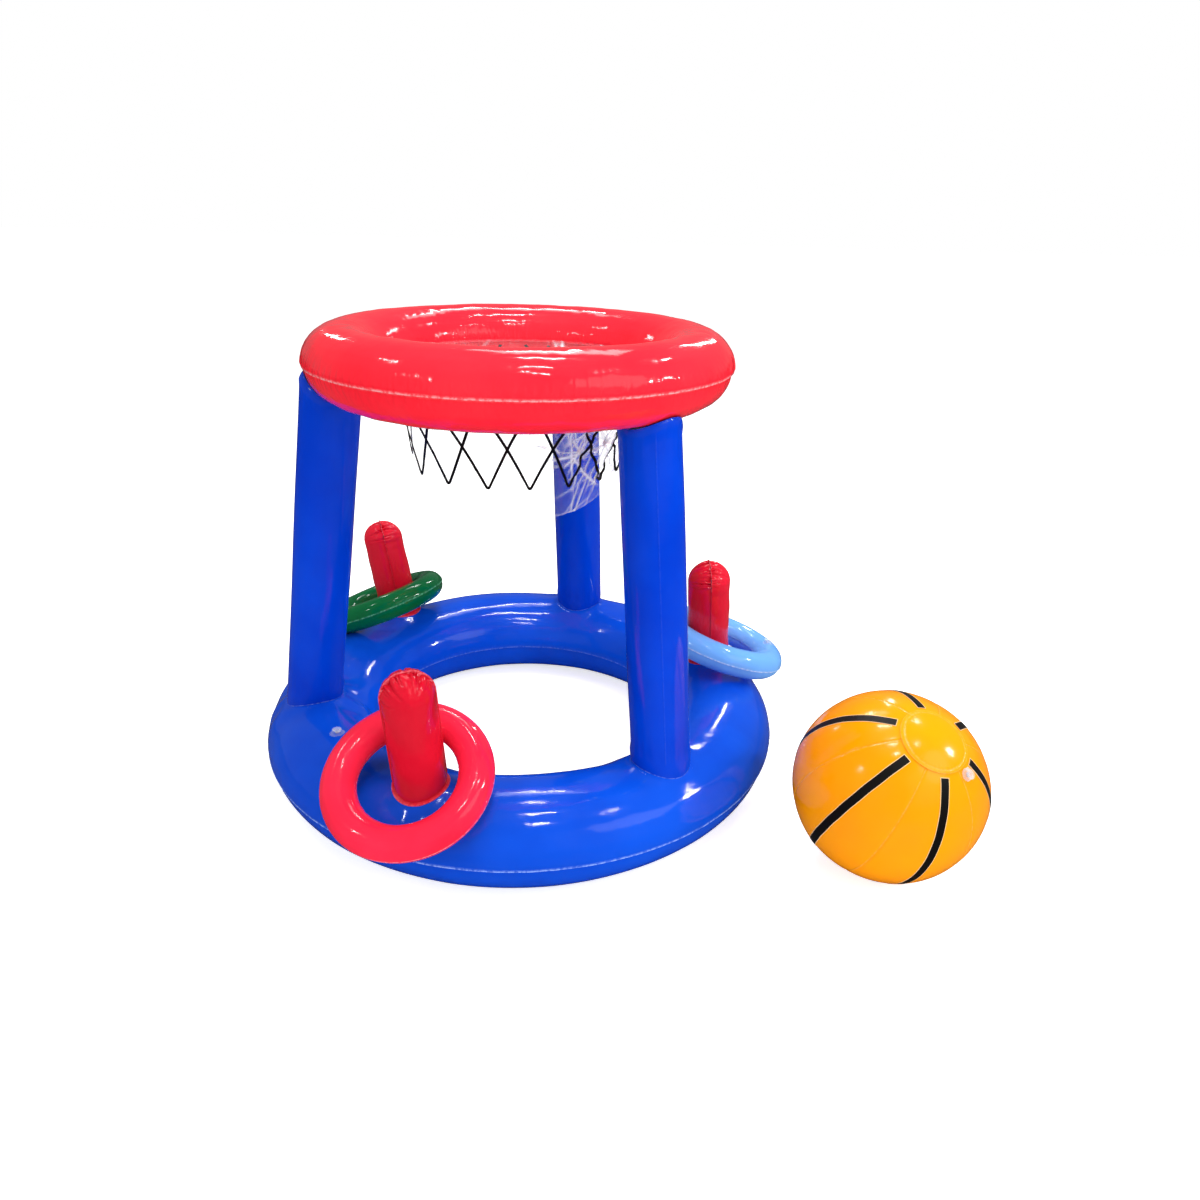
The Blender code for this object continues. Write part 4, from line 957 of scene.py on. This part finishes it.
def buildNetTree():
    # one V of the net drawn flat, repeated, rolled up, and laid on the skirt by a ray towards its middle
    tree = bpy.data.node_groups.new("printedNet", "GeometryNodeTree")
    for name, kind in (("Skirt", "NodeSocketObject"), ("Ink", "NodeSocketMaterial"),
                       ("Meshes", "NodeSocketInt"), ("Steps", "NodeSocketInt"),
                       ("Half Span", "NodeSocketFloat"), ("Height", "NodeSocketFloat"),
                       ("Tip Angle", "NodeSocketFloat"), ("Roll Radius", "NodeSocketFloat"),
                       ("Line Width", "NodeSocketFloat"), ("Tip Rounding", "NodeSocketFloat"),
                       ("Thickness", "NodeSocketFloat"), ("Lift", "NodeSocketFloat"),
                       ("Back Shortening", "NodeSocketFloat"),
                       ("Middle", "NodeSocketVector"), ("Top", "NodeSocketFloat")):
        tree.interface.new_socket(name=name, in_out="INPUT", socket_type=kind)
    tree.interface.new_socket(name="Geometry", in_out="OUTPUT", socket_type="NodeSocketGeometry")
    given = addNode(tree, "NodeGroupInput").outputs
    leftSpan = addNode(tree, "ShaderNodeMath", {"operation": "MULTIPLY"}, {0: given["Half Span"], 1: -1.0})
    down = addNode(tree, "ShaderNodeMath", {"operation": "MULTIPLY"}, {0: given["Height"], 1: -1.0})
    leftEnd = addNode(tree, "ShaderNodeCombineXYZ", None, {"X": leftSpan.outputs[0]})
    rightEnd = addNode(tree, "ShaderNodeCombineXYZ", None, {"X": given["Half Span"]})
    tip = addNode(tree, "ShaderNodeCombineXYZ", None, {"Y": down.outputs[0]})
    points = addNode(tree, "GeometryNodeMeshLine", {"mode": "END_POINTS"},
                     {"Count": 3, "Start Location": leftEnd.outputs[0], "Offset": rightEnd.outputs[0]})
    number = addNode(tree, "GeometryNodeInputIndex").outputs[0]
    isTip = addNode(tree, "FunctionNodeCompare", {"data_type": "INT", "operation": "EQUAL"},
                    {2: number, 3: 1})
    bent = addNode(tree, "GeometryNodeSetPosition", None,
                   {"Geometry": points.outputs[0], "Selection": isTip.outputs[0],
                    "Position": tip.outputs[0]})
    line = addNode(tree, "GeometryNodeMeshToCurve", None, {"Mesh": bent.outputs[0]})
    rounded = addNode(tree, "GeometryNodeFilletCurve", None,
                      {"Curve": line.outputs[0], "Radius": given["Tip Rounding"]})
    if "Mode" in rounded.inputs:
        rounded.inputs["Mode"].default_value = "Poly"
    else:
        rounded.mode = "POLY"
    rounded.inputs["Count"].default_value = 8
    even = addNode(tree, "GeometryNodeResampleCurve", None,
                   {"Curve": rounded.outputs[0], "Count": given["Steps"]})
    halfLine = addNode(tree, "ShaderNodeMath", {"operation": "MULTIPLY"}, {0: given["Line Width"], 1: 0.5})
    edgeA = addNode(tree, "ShaderNodeCombineXYZ", None, {"X": halfLine.outputs[0]})
    edgeB = addNode(tree, "ShaderNodeVectorMath", {"operation": "SCALE"}, {0: edgeA.outputs[0], "Scale": -1.0})
    widthLine = addNode(tree, "GeometryNodeCurvePrimitiveLine", None,
                        {"Start": edgeB.outputs[0], "End": edgeA.outputs[0]})
    widthEven = addNode(tree, "GeometryNodeResampleCurve", None, {"Curve": widthLine.outputs[0], "Count": 3})
    ribbon = addNode(tree, "GeometryNodeCurveToMesh", None,
                     {"Curve": even.outputs[0], "Profile Curve": widthEven.outputs[0]})
    # copies side by side, one mesh apart
    circumference = addNode(tree, "ShaderNodeMath", {"operation": "MULTIPLY"},
                            {0: given["Roll Radius"], 1: 2 * math.pi})
    meshSpan = addNode(tree, "ShaderNodeMath", {"operation": "DIVIDE"},
                       {0: circumference.outputs[0], 1: given["Meshes"]})
    step = addNode(tree, "ShaderNodeCombineXYZ", None, {"X": meshSpan.outputs[0]})
    places = addNode(tree, "GeometryNodeMeshLine", {"mode": "OFFSET"},
                     {"Count": given["Meshes"], "Offset": step.outputs[0]})
    copies = addNode(tree, "GeometryNodeInstanceOnPoints", None,
                     {"Points": places.outputs[0], "Instance": ribbon.outputs[0]})
    real = addNode(tree, "GeometryNodeRealizeInstances", None, {"Geometry": copies.outputs[0]})
    # roll the flat net up round the hoop's axis, outside the skirt
    flat = addNode(tree, "ShaderNodeSeparateXYZ", None, {0: addNode(tree, "GeometryNodeInputPosition").outputs[0]})
    turned = addNode(tree, "ShaderNodeMath", {"operation": "DIVIDE"},
                     {0: flat.outputs["X"], 1: given["Roll Radius"]})
    angle = addNode(tree, "ShaderNodeMath", {"operation": "ADD"}, {0: turned.outputs[0], 1: given["Tip Angle"]})
    cosine = addNode(tree, "ShaderNodeMath", {"operation": "COSINE"}, {0: angle.outputs[0]})
    sine = addNode(tree, "ShaderNodeMath", {"operation": "SINE"}, {0: angle.outputs[0]})
    outward = addNode(tree, "ShaderNodeCombineXYZ", None, {"X": cosine.outputs[0], "Y": sine.outputs[0]})
    wide = addNode(tree, "ShaderNodeVectorMath", {"operation": "SCALE"},
                   {0: outward.outputs[0], "Scale": 0.20})
    # the skirt is bunched up at the back, so the net is shorter there
    atBack = addNode(tree, "ShaderNodeMapRange", {"interpolation_type": "SMOOTHSTEP"},
                     {"Value": sine.outputs[0], "From Min": -0.15, "From Max": 0.35})
    shortening = addNode(tree, "ShaderNodeMath", {"operation": "MULTIPLY"},
                         {0: atBack.outputs[0], 1: given["Back Shortening"]})
    lengthShare = addNode(tree, "ShaderNodeMath", {"operation": "SUBTRACT"}, {0: 1.0, 1: shortening.outputs[0]})
    level = addNode(tree, "ShaderNodeMath", {"operation": "MULTIPLY_ADD"},
                    {0: flat.outputs["Y"], 1: lengthShare.outputs[0], 2: given["Top"]})
    raised = addNode(tree, "ShaderNodeCombineXYZ", None, {"Z": level.outputs[0]})
    spot = addNode(tree, "ShaderNodeVectorMath", {"operation": "ADD"}, {0: wide.outputs[0], 1: raised.outputs[0]})
    source = addNode(tree, "ShaderNodeVectorMath", {"operation": "ADD"}, {0: spot.outputs[0], 1: given["Middle"]})
    inward = addNode(tree, "ShaderNodeVectorMath", {"operation": "SCALE"}, {0: outward.outputs[0], "Scale": -1.0})
    target = addNode(tree, "GeometryNodeObjectInfo", None, {"Object": given["Skirt"]})
    ray = addNode(tree, "GeometryNodeRaycast", None,
                  {"Target Geometry": target.outputs["Geometry"], "Source Position": source.outputs[0],
                   "Ray Direction": inward.outputs[0], "Ray Length": 0.15})
    off = addNode(tree, "ShaderNodeVectorMath", {"operation": "SCALE"},
                  {0: ray.outputs["Hit Normal"], "Scale": given["Lift"]})
    laid = addNode(tree, "ShaderNodeVectorMath", {"operation": "ADD"},
                   {0: ray.outputs["Hit Position"], 1: off.outputs[0]})
    onSkirt = addNode(tree, "GeometryNodeSetPosition", None,
                      {"Geometry": real.outputs[0], "Position": laid.outputs[0]})
    thick = addNode(tree, "GeometryNodeExtrudeMesh", {"mode": "FACES"},
                    {"Mesh": onSkirt.outputs[0], "Offset Scale": given["Thickness"], "Individual": False})
    under = addNode(tree, "GeometryNodeFlipFaces", None, {"Mesh": onSkirt.outputs[0]})
    both = addNode(tree, "GeometryNodeJoinGeometry")
    tree.links.new(thick.outputs["Mesh"], both.inputs[0])
    tree.links.new(under.outputs[0], both.inputs[0])
    closed = addNode(tree, "GeometryNodeMergeByDistance", None, {"Geometry": both.outputs[0], "Distance": 0.000002})
    whole = addNode(tree, "GeometryNodeRealizeInstances", None, {"Geometry": closed.outputs[0]})
    coloured = addNode(tree, "GeometryNodeSetMaterial", None,
                       {"Geometry": whole.outputs[0], "Material": given["Ink"]})
    addNode(tree, "NodeGroupOutput", None, {"Geometry": coloured.outputs[0]})
    return tree


def buildNet():
    span = net["armMeshes"] * 2 * math.pi / net["meshes"] * net["unrolledRadius"]
    mesh = runTree("net_print", buildNetTree(), {
        "Skirt": skirtPiece, "Ink": ink, "Meshes": net["meshes"], "Steps": net["steps"],
        "Half Span": span, "Height": net["tipDrop"] - net["topDrop"],
        "Tip Angle": math.radians(net["tipAzimuth"]), "Roll Radius": net["unrolledRadius"],
        "Line Width": net["lineWidth"], "Tip Rounding": net["tipRounding"],
        "Thickness": net["thickness"], "Lift": net["lift"], "Back Shortening": net["backShortening"],
        "Middle": ringMiddle, "Top": hoopRing["height"] - net["topDrop"],
    })
    return finishPiece("net_print_ink", mesh, ink, "root", "black_print", replaced=["net_print"])


buildNet()
print("net done")


# Ball: six panels welded edge to edge, a stripe on each, and a cap over each end

ball = {
    "diameter": 0.2258, "panels": 6, "firstStripe": 13.0, "azimuth": -33.2, "clearSpace": 0.0507,
    "poleElevation": 60.0, "poleAzimuth": -70.0, "columns": 48, "rows": 90,
    "weldDip": 0.0007, "weldHalfWidth": 0.0012, "crownRise": 0.0006,
    "stripeWidth": 0.0106, "stripeStart": 22.7, "stripeThickness": 0.0003, "stripeEdge": 0.0006,
    "capAngle": 20.5, "capWeldAngle": 18.4, "capThickness": 0.0005,
    "valveLongitude": -68.0, "valveAngle": 25.2,
}
ballRadius = ball["diameter"] / 2
skinRadius = ballRadius - ball["stripeThickness"]


def ballMatrix():
    distance = baseRing["pitch"] + baseRing["halfWidth"] + ball["clearSpace"] + ballRadius
    centre = around(distance, ball["azimuth"], ballRadius) + ringMiddle
    pole = around(math.cos(math.radians(ball["poleElevation"])), ball["poleAzimuth"],
                  math.sin(math.radians(ball["poleElevation"])))
    level = Vector((0, 0, 1)).cross(pole).normalized()
    turn = Matrix((level, pole.cross(level), pole)).transposed()
    return Matrix.Translation(centre) @ turn.to_4x4()


def onBall(radius, polar, longitude):
    # points on the ball from their angle off the pole and their longitude, in radians
    return np.stack((radius * np.sin(polar) * np.cos(longitude), radius * np.sin(polar) * np.sin(longitude),
                     radius * np.cos(polar)), axis=-1)


def buildPanel(number, matrix):
    name = "ball_panel_" + str(number + 1)
    middle = math.radians(ball["firstStripe"] + 360 * number / ball["panels"])
    half = math.pi / ball["panels"]
    drawOut = 0.00006
    share = np.linspace(-1, 1, ball["columns"] + 1)
    share = np.sign(share) * (1 - (1 - np.abs(share)) ** 1.6)
    rows, welds = [], []
    for row in range(ball["rows"] + 1):
        polar = math.pi * (row + 0.02) / (ball["rows"] + 0.04)
        edge = (1 - np.abs(share)) * half * math.sin(polar) * skinRadius
        dip = ball["weldDip"] * np.exp(-(edge / ball["weldHalfWidth"]) ** 2)
        crown = ball["crownRise"] * np.cos(share * math.pi / 2) * math.sin(polar) - ball["crownRise"]
        radius = skinRadius + crown - dip - 0.0004
        arc = onBall(radius, np.full_like(share, polar), middle + share * (half - drawOut / 0.1))
        axisPoint = np.array([[0.0, 0.0, (radius.mean()) * math.cos(polar)]])
        rows.append(np.vstack((axisPoint + np.array(around(drawOut, math.degrees(middle))), arc)))
        welds.append(np.concatenate(([0.0], 0.34 * np.exp(-(edge / 0.0006) ** 2))))
    mesh = meshFromRows(name, rows, weld=welds)
    return finishPiece(name + "_film", mesh, films["orange"], "ball", "orange_film", matrix=matrix)


def buildStripe(number, matrix):
    name = "ball_stripe_" + str(number + 1)
    longitude = math.radians(ball["firstStripe"] + 360 * number / ball["panels"])
    start = math.radians(ball["stripeStart"])
    half, edge = ball["stripeWidth"] / 2, ball["stripeEdge"]
    offsets = np.array([-half, -half, -half + edge, -half + edge * 1.05, 0, half - edge * 1.05, half - edge,
                        half, half, half / 2, -half / 2])
    lifts = np.array([0.0, 0.00012, 0.00015, 0.00018, 0.00022, 0.00018, 0.00015, 0.00012, 0.0, 0.0, 0.0])
    pale = np.array([1.0, 1.0, 1.0, 0.0, 0.0, 0.0, 1.0, 1.0, 1.0, 0.0, 0.0])
    rows, welds = [], []
    count = 120
    side = np.array(around(1, math.degrees(longitude) + 90))
    ends = [start, start + 0.0045]
    polars = ends + list(np.linspace(start + 0.006, math.pi - start - 0.006, count))
    polars += [math.pi - start - 0.0045, math.pi - start]
    for i, polar in enumerate(polars):
        base = onBall(skinRadius - 0.0004, polar, longitude)
        wave = 0.00012 * math.sin(polar * 23 + number)
        flat = base + np.outer(offsets + wave, side)
        flat *= ((skinRadius - 0.0003 + lifts) / np.linalg.norm(flat, axis=1))[:, None]
        rows.append(flat)
        atEnd = i in (0, 1, len(polars) - 2, len(polars) - 1)
        welds.append(np.ones(len(offsets)) if atEnd else pale)
    mesh = meshFromRows(name, rows, weld=welds)
    return finishPiece(name + "_ink", mesh, ink, "ball", "black_print", replaced=[name], matrix=matrix)


def buildCap(name, end, matrix):
    edge, weldEdge = math.radians(ball["capAngle"]), math.radians(ball["capWeldAngle"])
    polars = np.concatenate((np.linspace(0.002, weldEdge, 26), np.linspace(weldEdge + 0.004, edge, 10)))
    longitudes = np.linspace(0, 2 * math.pi, 180, endpoint=False)
    top = skinRadius + ball["capThickness"]
    middle = (weldEdge + edge) / 2
    outerRows, innerRows, outerWelds = [], [], []
    for polar in polars:
        groove = 0.00030 * math.exp(-((polar - weldEdge) * ballRadius / 0.0008) ** 2)
        press = 0.00022 if polar > weldEdge else 0.0
        pucker = 0.00016 * np.sin(longitudes * 47 + 2 * np.sin(longitudes * 5))
        pucker *= math.exp(-((polar - weldEdge) * ballRadius / 0.004) ** 2)
        outerRows.append(onBall(top - groove - press + pucker - 0.0001, np.full_like(longitudes, polar), longitudes))
        innerRows.append(onBall(np.full_like(longitudes, skinRadius - 0.0003), np.full_like(longitudes, polar),
                                longitudes))
        rim = math.exp(-((polar - edge) * ballRadius / 0.0005) ** 2)
        line = math.exp(-((polar - weldEdge) * ballRadius / 0.0005) ** 2)
        outerWelds.append(np.full(len(longitudes), 0.04 + 0.34 * max(rim, line) if polar > weldEdge else 0.34 * line))
    rows = np.array(outerRows + innerRows[::-1])
    rows[..., 2] *= end
    welds = outerWelds + [np.zeros(len(longitudes))] * len(innerRows)
    mesh = meshFromRows(name, rows, weld=welds)
    return finishPiece(name + "_film", mesh, films["orange"], "ball", "orange_film", matrix=matrix)


ballPlace = ballMatrix()
for number in range(ball["panels"]):
    buildPanel(number, ballPlace)
    buildStripe(number, ballPlace)
buildCap("ball_front_cap", 1, ballPlace)
buildCap("ball_back_cap", -1, ballPlace)
print("ball done")


# Valves: a clear patch with a short neck, and the plug that closes it

valves = {
    "flange": 0.019, "smallFlange": 0.0145, "flangeThickness": 0.0006,
    "neck": 0.0100, "neckHeight": 0.0040, "bore": 0.0062, "boreDepth": 0.0036,
    "gap": 0.0003, "capWidth": 0.0116, "capThickness": 0.0010, "tab": 0.0032, "sides": 64,
}


def turnedMesh(name, rows, fall):
    # turns rows of (radius, height, follows the film, tab) about the local Z axis
    angles = np.linspace(0, 2 * math.pi, valves["sides"], endpoint=False)
    tabShape = np.exp(-(np.minimum(angles, 2 * math.pi - angles) / 0.34) ** 4)
    loops = []
    for radius, height, follows, tab in rows:
        reach = radius + tab * tabShape
        x, y = reach * np.cos(angles), reach * np.sin(angles)
        drop = np.array([fall(a, b) if follows else 0.0 for a, b in zip(x, y)])
        loops.append(np.column_stack((x, y, height - drop)))
    return meshFromRows(name, loops)


def ringValveFrame(ring, azimuth, section):
    width, height = ring["halfWidth"], ring["halfHeight"]
    turn = math.radians(section)
    reach = ring["pitch"] + width * math.cos(turn)
    point = around(reach, azimuth, height * math.sin(turn))
    size = math.hypot(math.cos(turn) / width, math.sin(turn) / height)
    normal = around(math.cos(turn) / width / size, azimuth, math.sin(turn) / height / size)
    tangent = around(1, azimuth + 90)
    bend = ((width * math.sin(turn)) ** 2 + (height * math.cos(turn)) ** 2) ** 1.5 / (width * height)
    flare = math.cos(turn) / width / size / reach

    def fall(x, y):
        return bend - math.sqrt(bend ** 2 - y ** 2) + flare * x ** 2 / 2

    axes = Matrix((tangent, normal.cross(tangent), normal)).transposed()
    return Matrix.Translation(point) @ axes.to_4x4(), fall


def ballValveFrame():
    surface = skinRadius - seams["touchGap"]
    polar, longitude = math.radians(ball["valveAngle"]), math.radians(ball["valveLongitude"])
    point = Vector(onBall(surface, polar, longitude))
    normal = point.normalized()
    first, second = frameAlong(normal, Vector((0, 0, 1)))

    def fall(x, y):
        return surface - math.sqrt(surface ** 2 - x ** 2 - y ** 2)

    axes = Matrix((first, second, normal)).transposed()
    return Matrix.Translation(point) @ axes.to_4x4(), fall


def buildValve(prefix, body, matrix, fall, flangeWidth):
    flange, neck, bore = flangeWidth / 2, valves["neck"] / 2, valves["bore"] / 2
    low = seams["touchGap"]
    top = low + valves["flangeThickness"]
    neckTop = top + valves["neckHeight"]
    round3, round5 = 0.0003, 0.0005
    stemRows = [
        (bore * 0.5, low, True, 0.0), (neck, low, True, 0.0), (flange - round3, low, True, 0.0),
        (flange, low + round3, True, 0.0), (flange - round3, top, True, 0.0),
        (flange * 0.86, top - 0.0002, True, 0.0), (flange * 0.80, top + 0.0001, True, 0.0),
        (neck + 0.0010, top, True, 0.0), (neck + round3, top + round3, False, 0.0),
        (neck, top + round5 * 2, False, 0.0), (neck, neckTop - round5, False, 0.0),
        (neck - round3, neckTop, False, 0.0), (bore + round3, neckTop, False, 0.0),
        (bore, neckTop - round3, False, 0.0), (bore, neckTop - valves["boreDepth"], False, 0.0),
        (bore * 0.4, neckTop - valves["boreDepth"], False, 0.0),
    ]
    stem = turnedMesh(prefix + "_valve_stem", stemRows, fall)
    finishPiece(prefix + "_valve_stem_moulding", stem, valveVinyl, body, "valve_film",
                replaced=[prefix + "_valve_stem"], matrix=matrix)
    pin, cap = bore - valves["gap"], valves["capWidth"] / 2
    pinTop = neckTop + valves["gap"]
    pinLow = neckTop - valves["boreDepth"] + valves["gap"]
    capTop = pinTop + valves["capThickness"]
    plugRows = [
        (pin * 0.5, pinLow, False, 0.0), (pin - round3, pinLow, False, 0.0), (pin, pinLow + round3, False, 0.0),
        (pin, pinTop, False, 0.0), (cap - round3, pinTop, False, valves["tab"]),
        (cap, pinTop + round3, False, valves["tab"]), (cap, capTop - round3, False, valves["tab"]),
        (cap - round3, capTop, False, valves["tab"]), (cap * 0.62, capTop, False, 0.0),
        (cap * 0.52, capTop - 0.0004, False, 0.0), (cap * 0.2, capTop - 0.0004, False, 0.0),
    ]
    plug = turnedMesh(prefix + "_valve_plug", plugRows, fall)
    finishPiece(prefix + "_valve_plug_moulding", plug, valveVinyl, prefix + "_valve_plug", "valve_film",
                replaced=[prefix + "_valve_plug"], matrix=matrix)


valvePlaces = (
    ("base", "base_ring", "root", -146.9, 90.0, "flange"),
    ("hoop", "hoop_ring", "root", 100.0, 46.0, "flange"),
    ("red_ring", "red_ring", "red_ring", 78.0, 92.0, "smallFlange"),
    ("green_ring", "green_ring", "green_ring", 192.0, 92.0, "smallFlange"),
    ("light_blue_ring", "light_blue_ring", "light_blue_ring", 1.3, 103.0, "smallFlange"),
)
for prefix, ringName, body, azimuth, section, flangeKind in valvePlaces:
    local, fall = ringValveFrame(rings[ringName], azimuth, section)
    buildValve(prefix, body, ringMatrix(rings[ringName]) @ local, fall, valves[flangeKind])
local, fall = ballValveFrame()
buildValve("ball", "ball", ballPlace @ local, fall, valves["smallFlange"])
print("valves done")


# Floor, light and camera

studio = {"floorSize": 40.0, "worldFill": 0.40, "worldSeen": 1.0, "worldMirrored": 0.18,
          "floorLift": 0.70, "floorMirroredShare": 0.08}


def rayMix(tree, fill, seen, mirrored):
    # one value for light that fills, one for what the camera sees, one for what gloss reflects
    rays = addNode(tree, "ShaderNodeLightPath")
    direct = addNode(tree, "ShaderNodeMath", {"operation": "ADD", "use_clamp": True},
                     {0: rays.outputs["Is Camera Ray"], 1: rays.outputs["Is Transmission Ray"]})
    first = addNode(tree, "ShaderNodeMix", {"data_type": "FLOAT"}, {0: direct.outputs[0], 2: fill, 3: seen})
    last = addNode(tree, "ShaderNodeMix", {"data_type": "FLOAT"},
                   {0: rays.outputs["Is Glossy Ray"], 2: first.outputs[0], 3: mirrored})
    return last.outputs[0]


def buildFloor():
    mesh = bpy.data.meshes.new("studioFloor")
    half = studio["floorSize"] / 2
    mesh.from_pydata([(-half, -half, 0), (half, -half, 0), (half, half, 0), (-half, half, 0)], [], [(0, 1, 2, 3)])
    material = bpy.data.materials.new("paleFloor")
    material.use_nodes = True
    tree = material.node_tree
    shader = tree.nodes["Principled BSDF"]
    shader.inputs["Roughness"].default_value = 0.9
    shader.inputs["Specular IOR Level"].default_value = 0.0
    share = rayMix(tree, 1.0, 1.0, studio["floorMirroredShare"])
    paint = addNode(tree, "ShaderNodeMix", {"data_type": "RGBA"},
                    {0: share, 6: (0, 0, 0, 1), 7: hexColour("#F4F4F4")})
    tree.links.new(paint.outputs[2], shader.inputs["Base Color"])
    shader.inputs["Emission Color"].default_value = (1, 1, 1, 1)
    tree.links.new(rayMix(tree, 0.0, studio["floorLift"], 0.0), shader.inputs["Emission Strength"])
    mesh.materials.append(material)
    floor = bpy.data.objects.new("studioFloor", mesh)
    bpy.context.scene.collection.objects.link(floor)


def buildWorld():
    world = bpy.data.worlds.new("studioWorld")
    bpy.context.scene.world = world
    world.use_nodes = True
    tree = world.node_tree
    background = tree.nodes["Background"]
    background.inputs["Color"].default_value = (1, 1, 1, 1)
    strength = rayMix(tree, studio["worldFill"], studio["worldSeen"], studio["worldMirrored"])
    tree.links.new(strength, background.inputs["Strength"])


# each lamp: direction from the set, distance, width and depth, power in watts, and whether gloss mirrors it
lampTarget = Vector((-0.05, -0.1, 0.3))
lamps = {
    "backHaze": {"from": (0.06, 0.62, 0.78), "far": 2.3, "size": (1.0, 0.36), "power": 5.0},
    "backStrip": {"from": (0.03, 0.68, 0.73), "far": 2.2, "size": (0.42, 0.05), "power": 4.0},
    "topBackStrip": {"from": (0.06, 0.25, 0.96), "far": 2.2, "size": (0.50, 0.07), "power": 9.0},
    "topFrontStrip": {"from": (0.04, -0.17, 0.98), "far": 2.2, "size": (0.34, 0.06), "power": 5.5},
    "frontStrip": {"from": (0.05, -0.40, 0.91), "far": 2.2, "size": (0.22, 0.06), "power": 3.5},
    "leftBackStrip": {"from": (-0.45, 0.78, 0.44), "far": 2.3, "size": (0.06, 0.26), "power": 1.8},
    "rightBackStrip": {"from": (0.42, 0.77, 0.48), "far": 2.3, "size": (0.09, 0.50), "power": 5.5},
    "leftStrip": {"from": (-0.62, 0.13, 0.77), "far": 2.3, "size": (0.20, 0.08), "power": 2.2},
    "rightStrip": {"from": (0.58, 0.28, 0.76), "far": 2.3, "size": (0.20, 0.09), "power": 3.5},
    "rightFrontBox": {"from": (0.46, -0.22, 0.86), "far": 2.3, "size": (0.14, 0.07), "power": 1.8},
    "leftBox": {"from": (-0.70, -0.39, 0.60), "far": 2.3, "size": (0.14, 0.12), "power": 2.5},
    "rightBox": {"from": (0.865, -0.130, 0.485), "far": 2.65, "size": (0.24, 0.24), "power": 13.0},
    "topFill": {"from": (0.0, 0.0, 1.0), "far": 2.6, "size": (1.8, 1.8), "power": 24.0, "mirrored": False},
    "rightSheen": {"from": (0.62, -0.50, 0.60), "far": 2.9, "size": (1.8, 1.4), "power": 9.0, "shape": "ELLIPSE"},
    "rightFill": {"from": (0.55, -0.86, 0.46), "far": 3.2, "size": (2.4, 2.0), "power": 36.0, "mirrored": False},
    "leftFill": {"from": (-0.65, -0.80, 0.34), "far": 3.2, "size": (2.4, 2.0), "power": 16.0, "mirrored": False},
}


def buildLamps():
    for name, lamp in lamps.items():
        light = bpy.data.lights.new(name, "AREA")
        light.shape = lamp.get("shape", "RECTANGLE")
        light.size, light.size_y = lamp["size"]
        light.energy = lamp["power"]
        holder = bpy.data.objects.new(name, light)
        direction = Vector(lamp["from"]).normalized()
        holder.location = lampTarget + direction * lamp["far"]
        holder.rotation_euler = direction.to_track_quat("Z", "Y").to_euler()
        holder.visible_glossy = lamp.get("mirrored", True)
        bpy.context.scene.collection.objects.link(holder)


cameraView = {"place": (-0.09438, -1.135123, 0.7338), "heading": 5.2257, "tilt": -23.3545, "roll": 1.6608,
              "lens": 27.38, "sensor": 36.0}


def buildCamera():
    data = bpy.data.cameras.new("photoCamera")
    data.lens = cameraView["lens"]
    data.sensor_width = cameraView["sensor"]
    data.clip_start = 0.01
    data.clip_end = 100.0
    camera = bpy.data.objects.new("photoCamera", data)
    turn = Matrix.Rotation(math.radians(-cameraView["heading"]), 4, "Z")
    tilt = Matrix.Rotation(math.radians(90 + cameraView["tilt"]), 4, "X")
    roll = Matrix.Rotation(math.radians(cameraView["roll"]), 4, "Z")
    camera.matrix_world = Matrix.Translation(cameraView["place"]) @ turn @ tilt @ roll
    bpy.context.scene.collection.objects.link(camera)
    bpy.context.scene.camera = camera


buildFloor()
buildWorld()
buildLamps()
buildCamera()
bpy.context.scene.view_settings.view_transform = "Standard"
print("stage done")
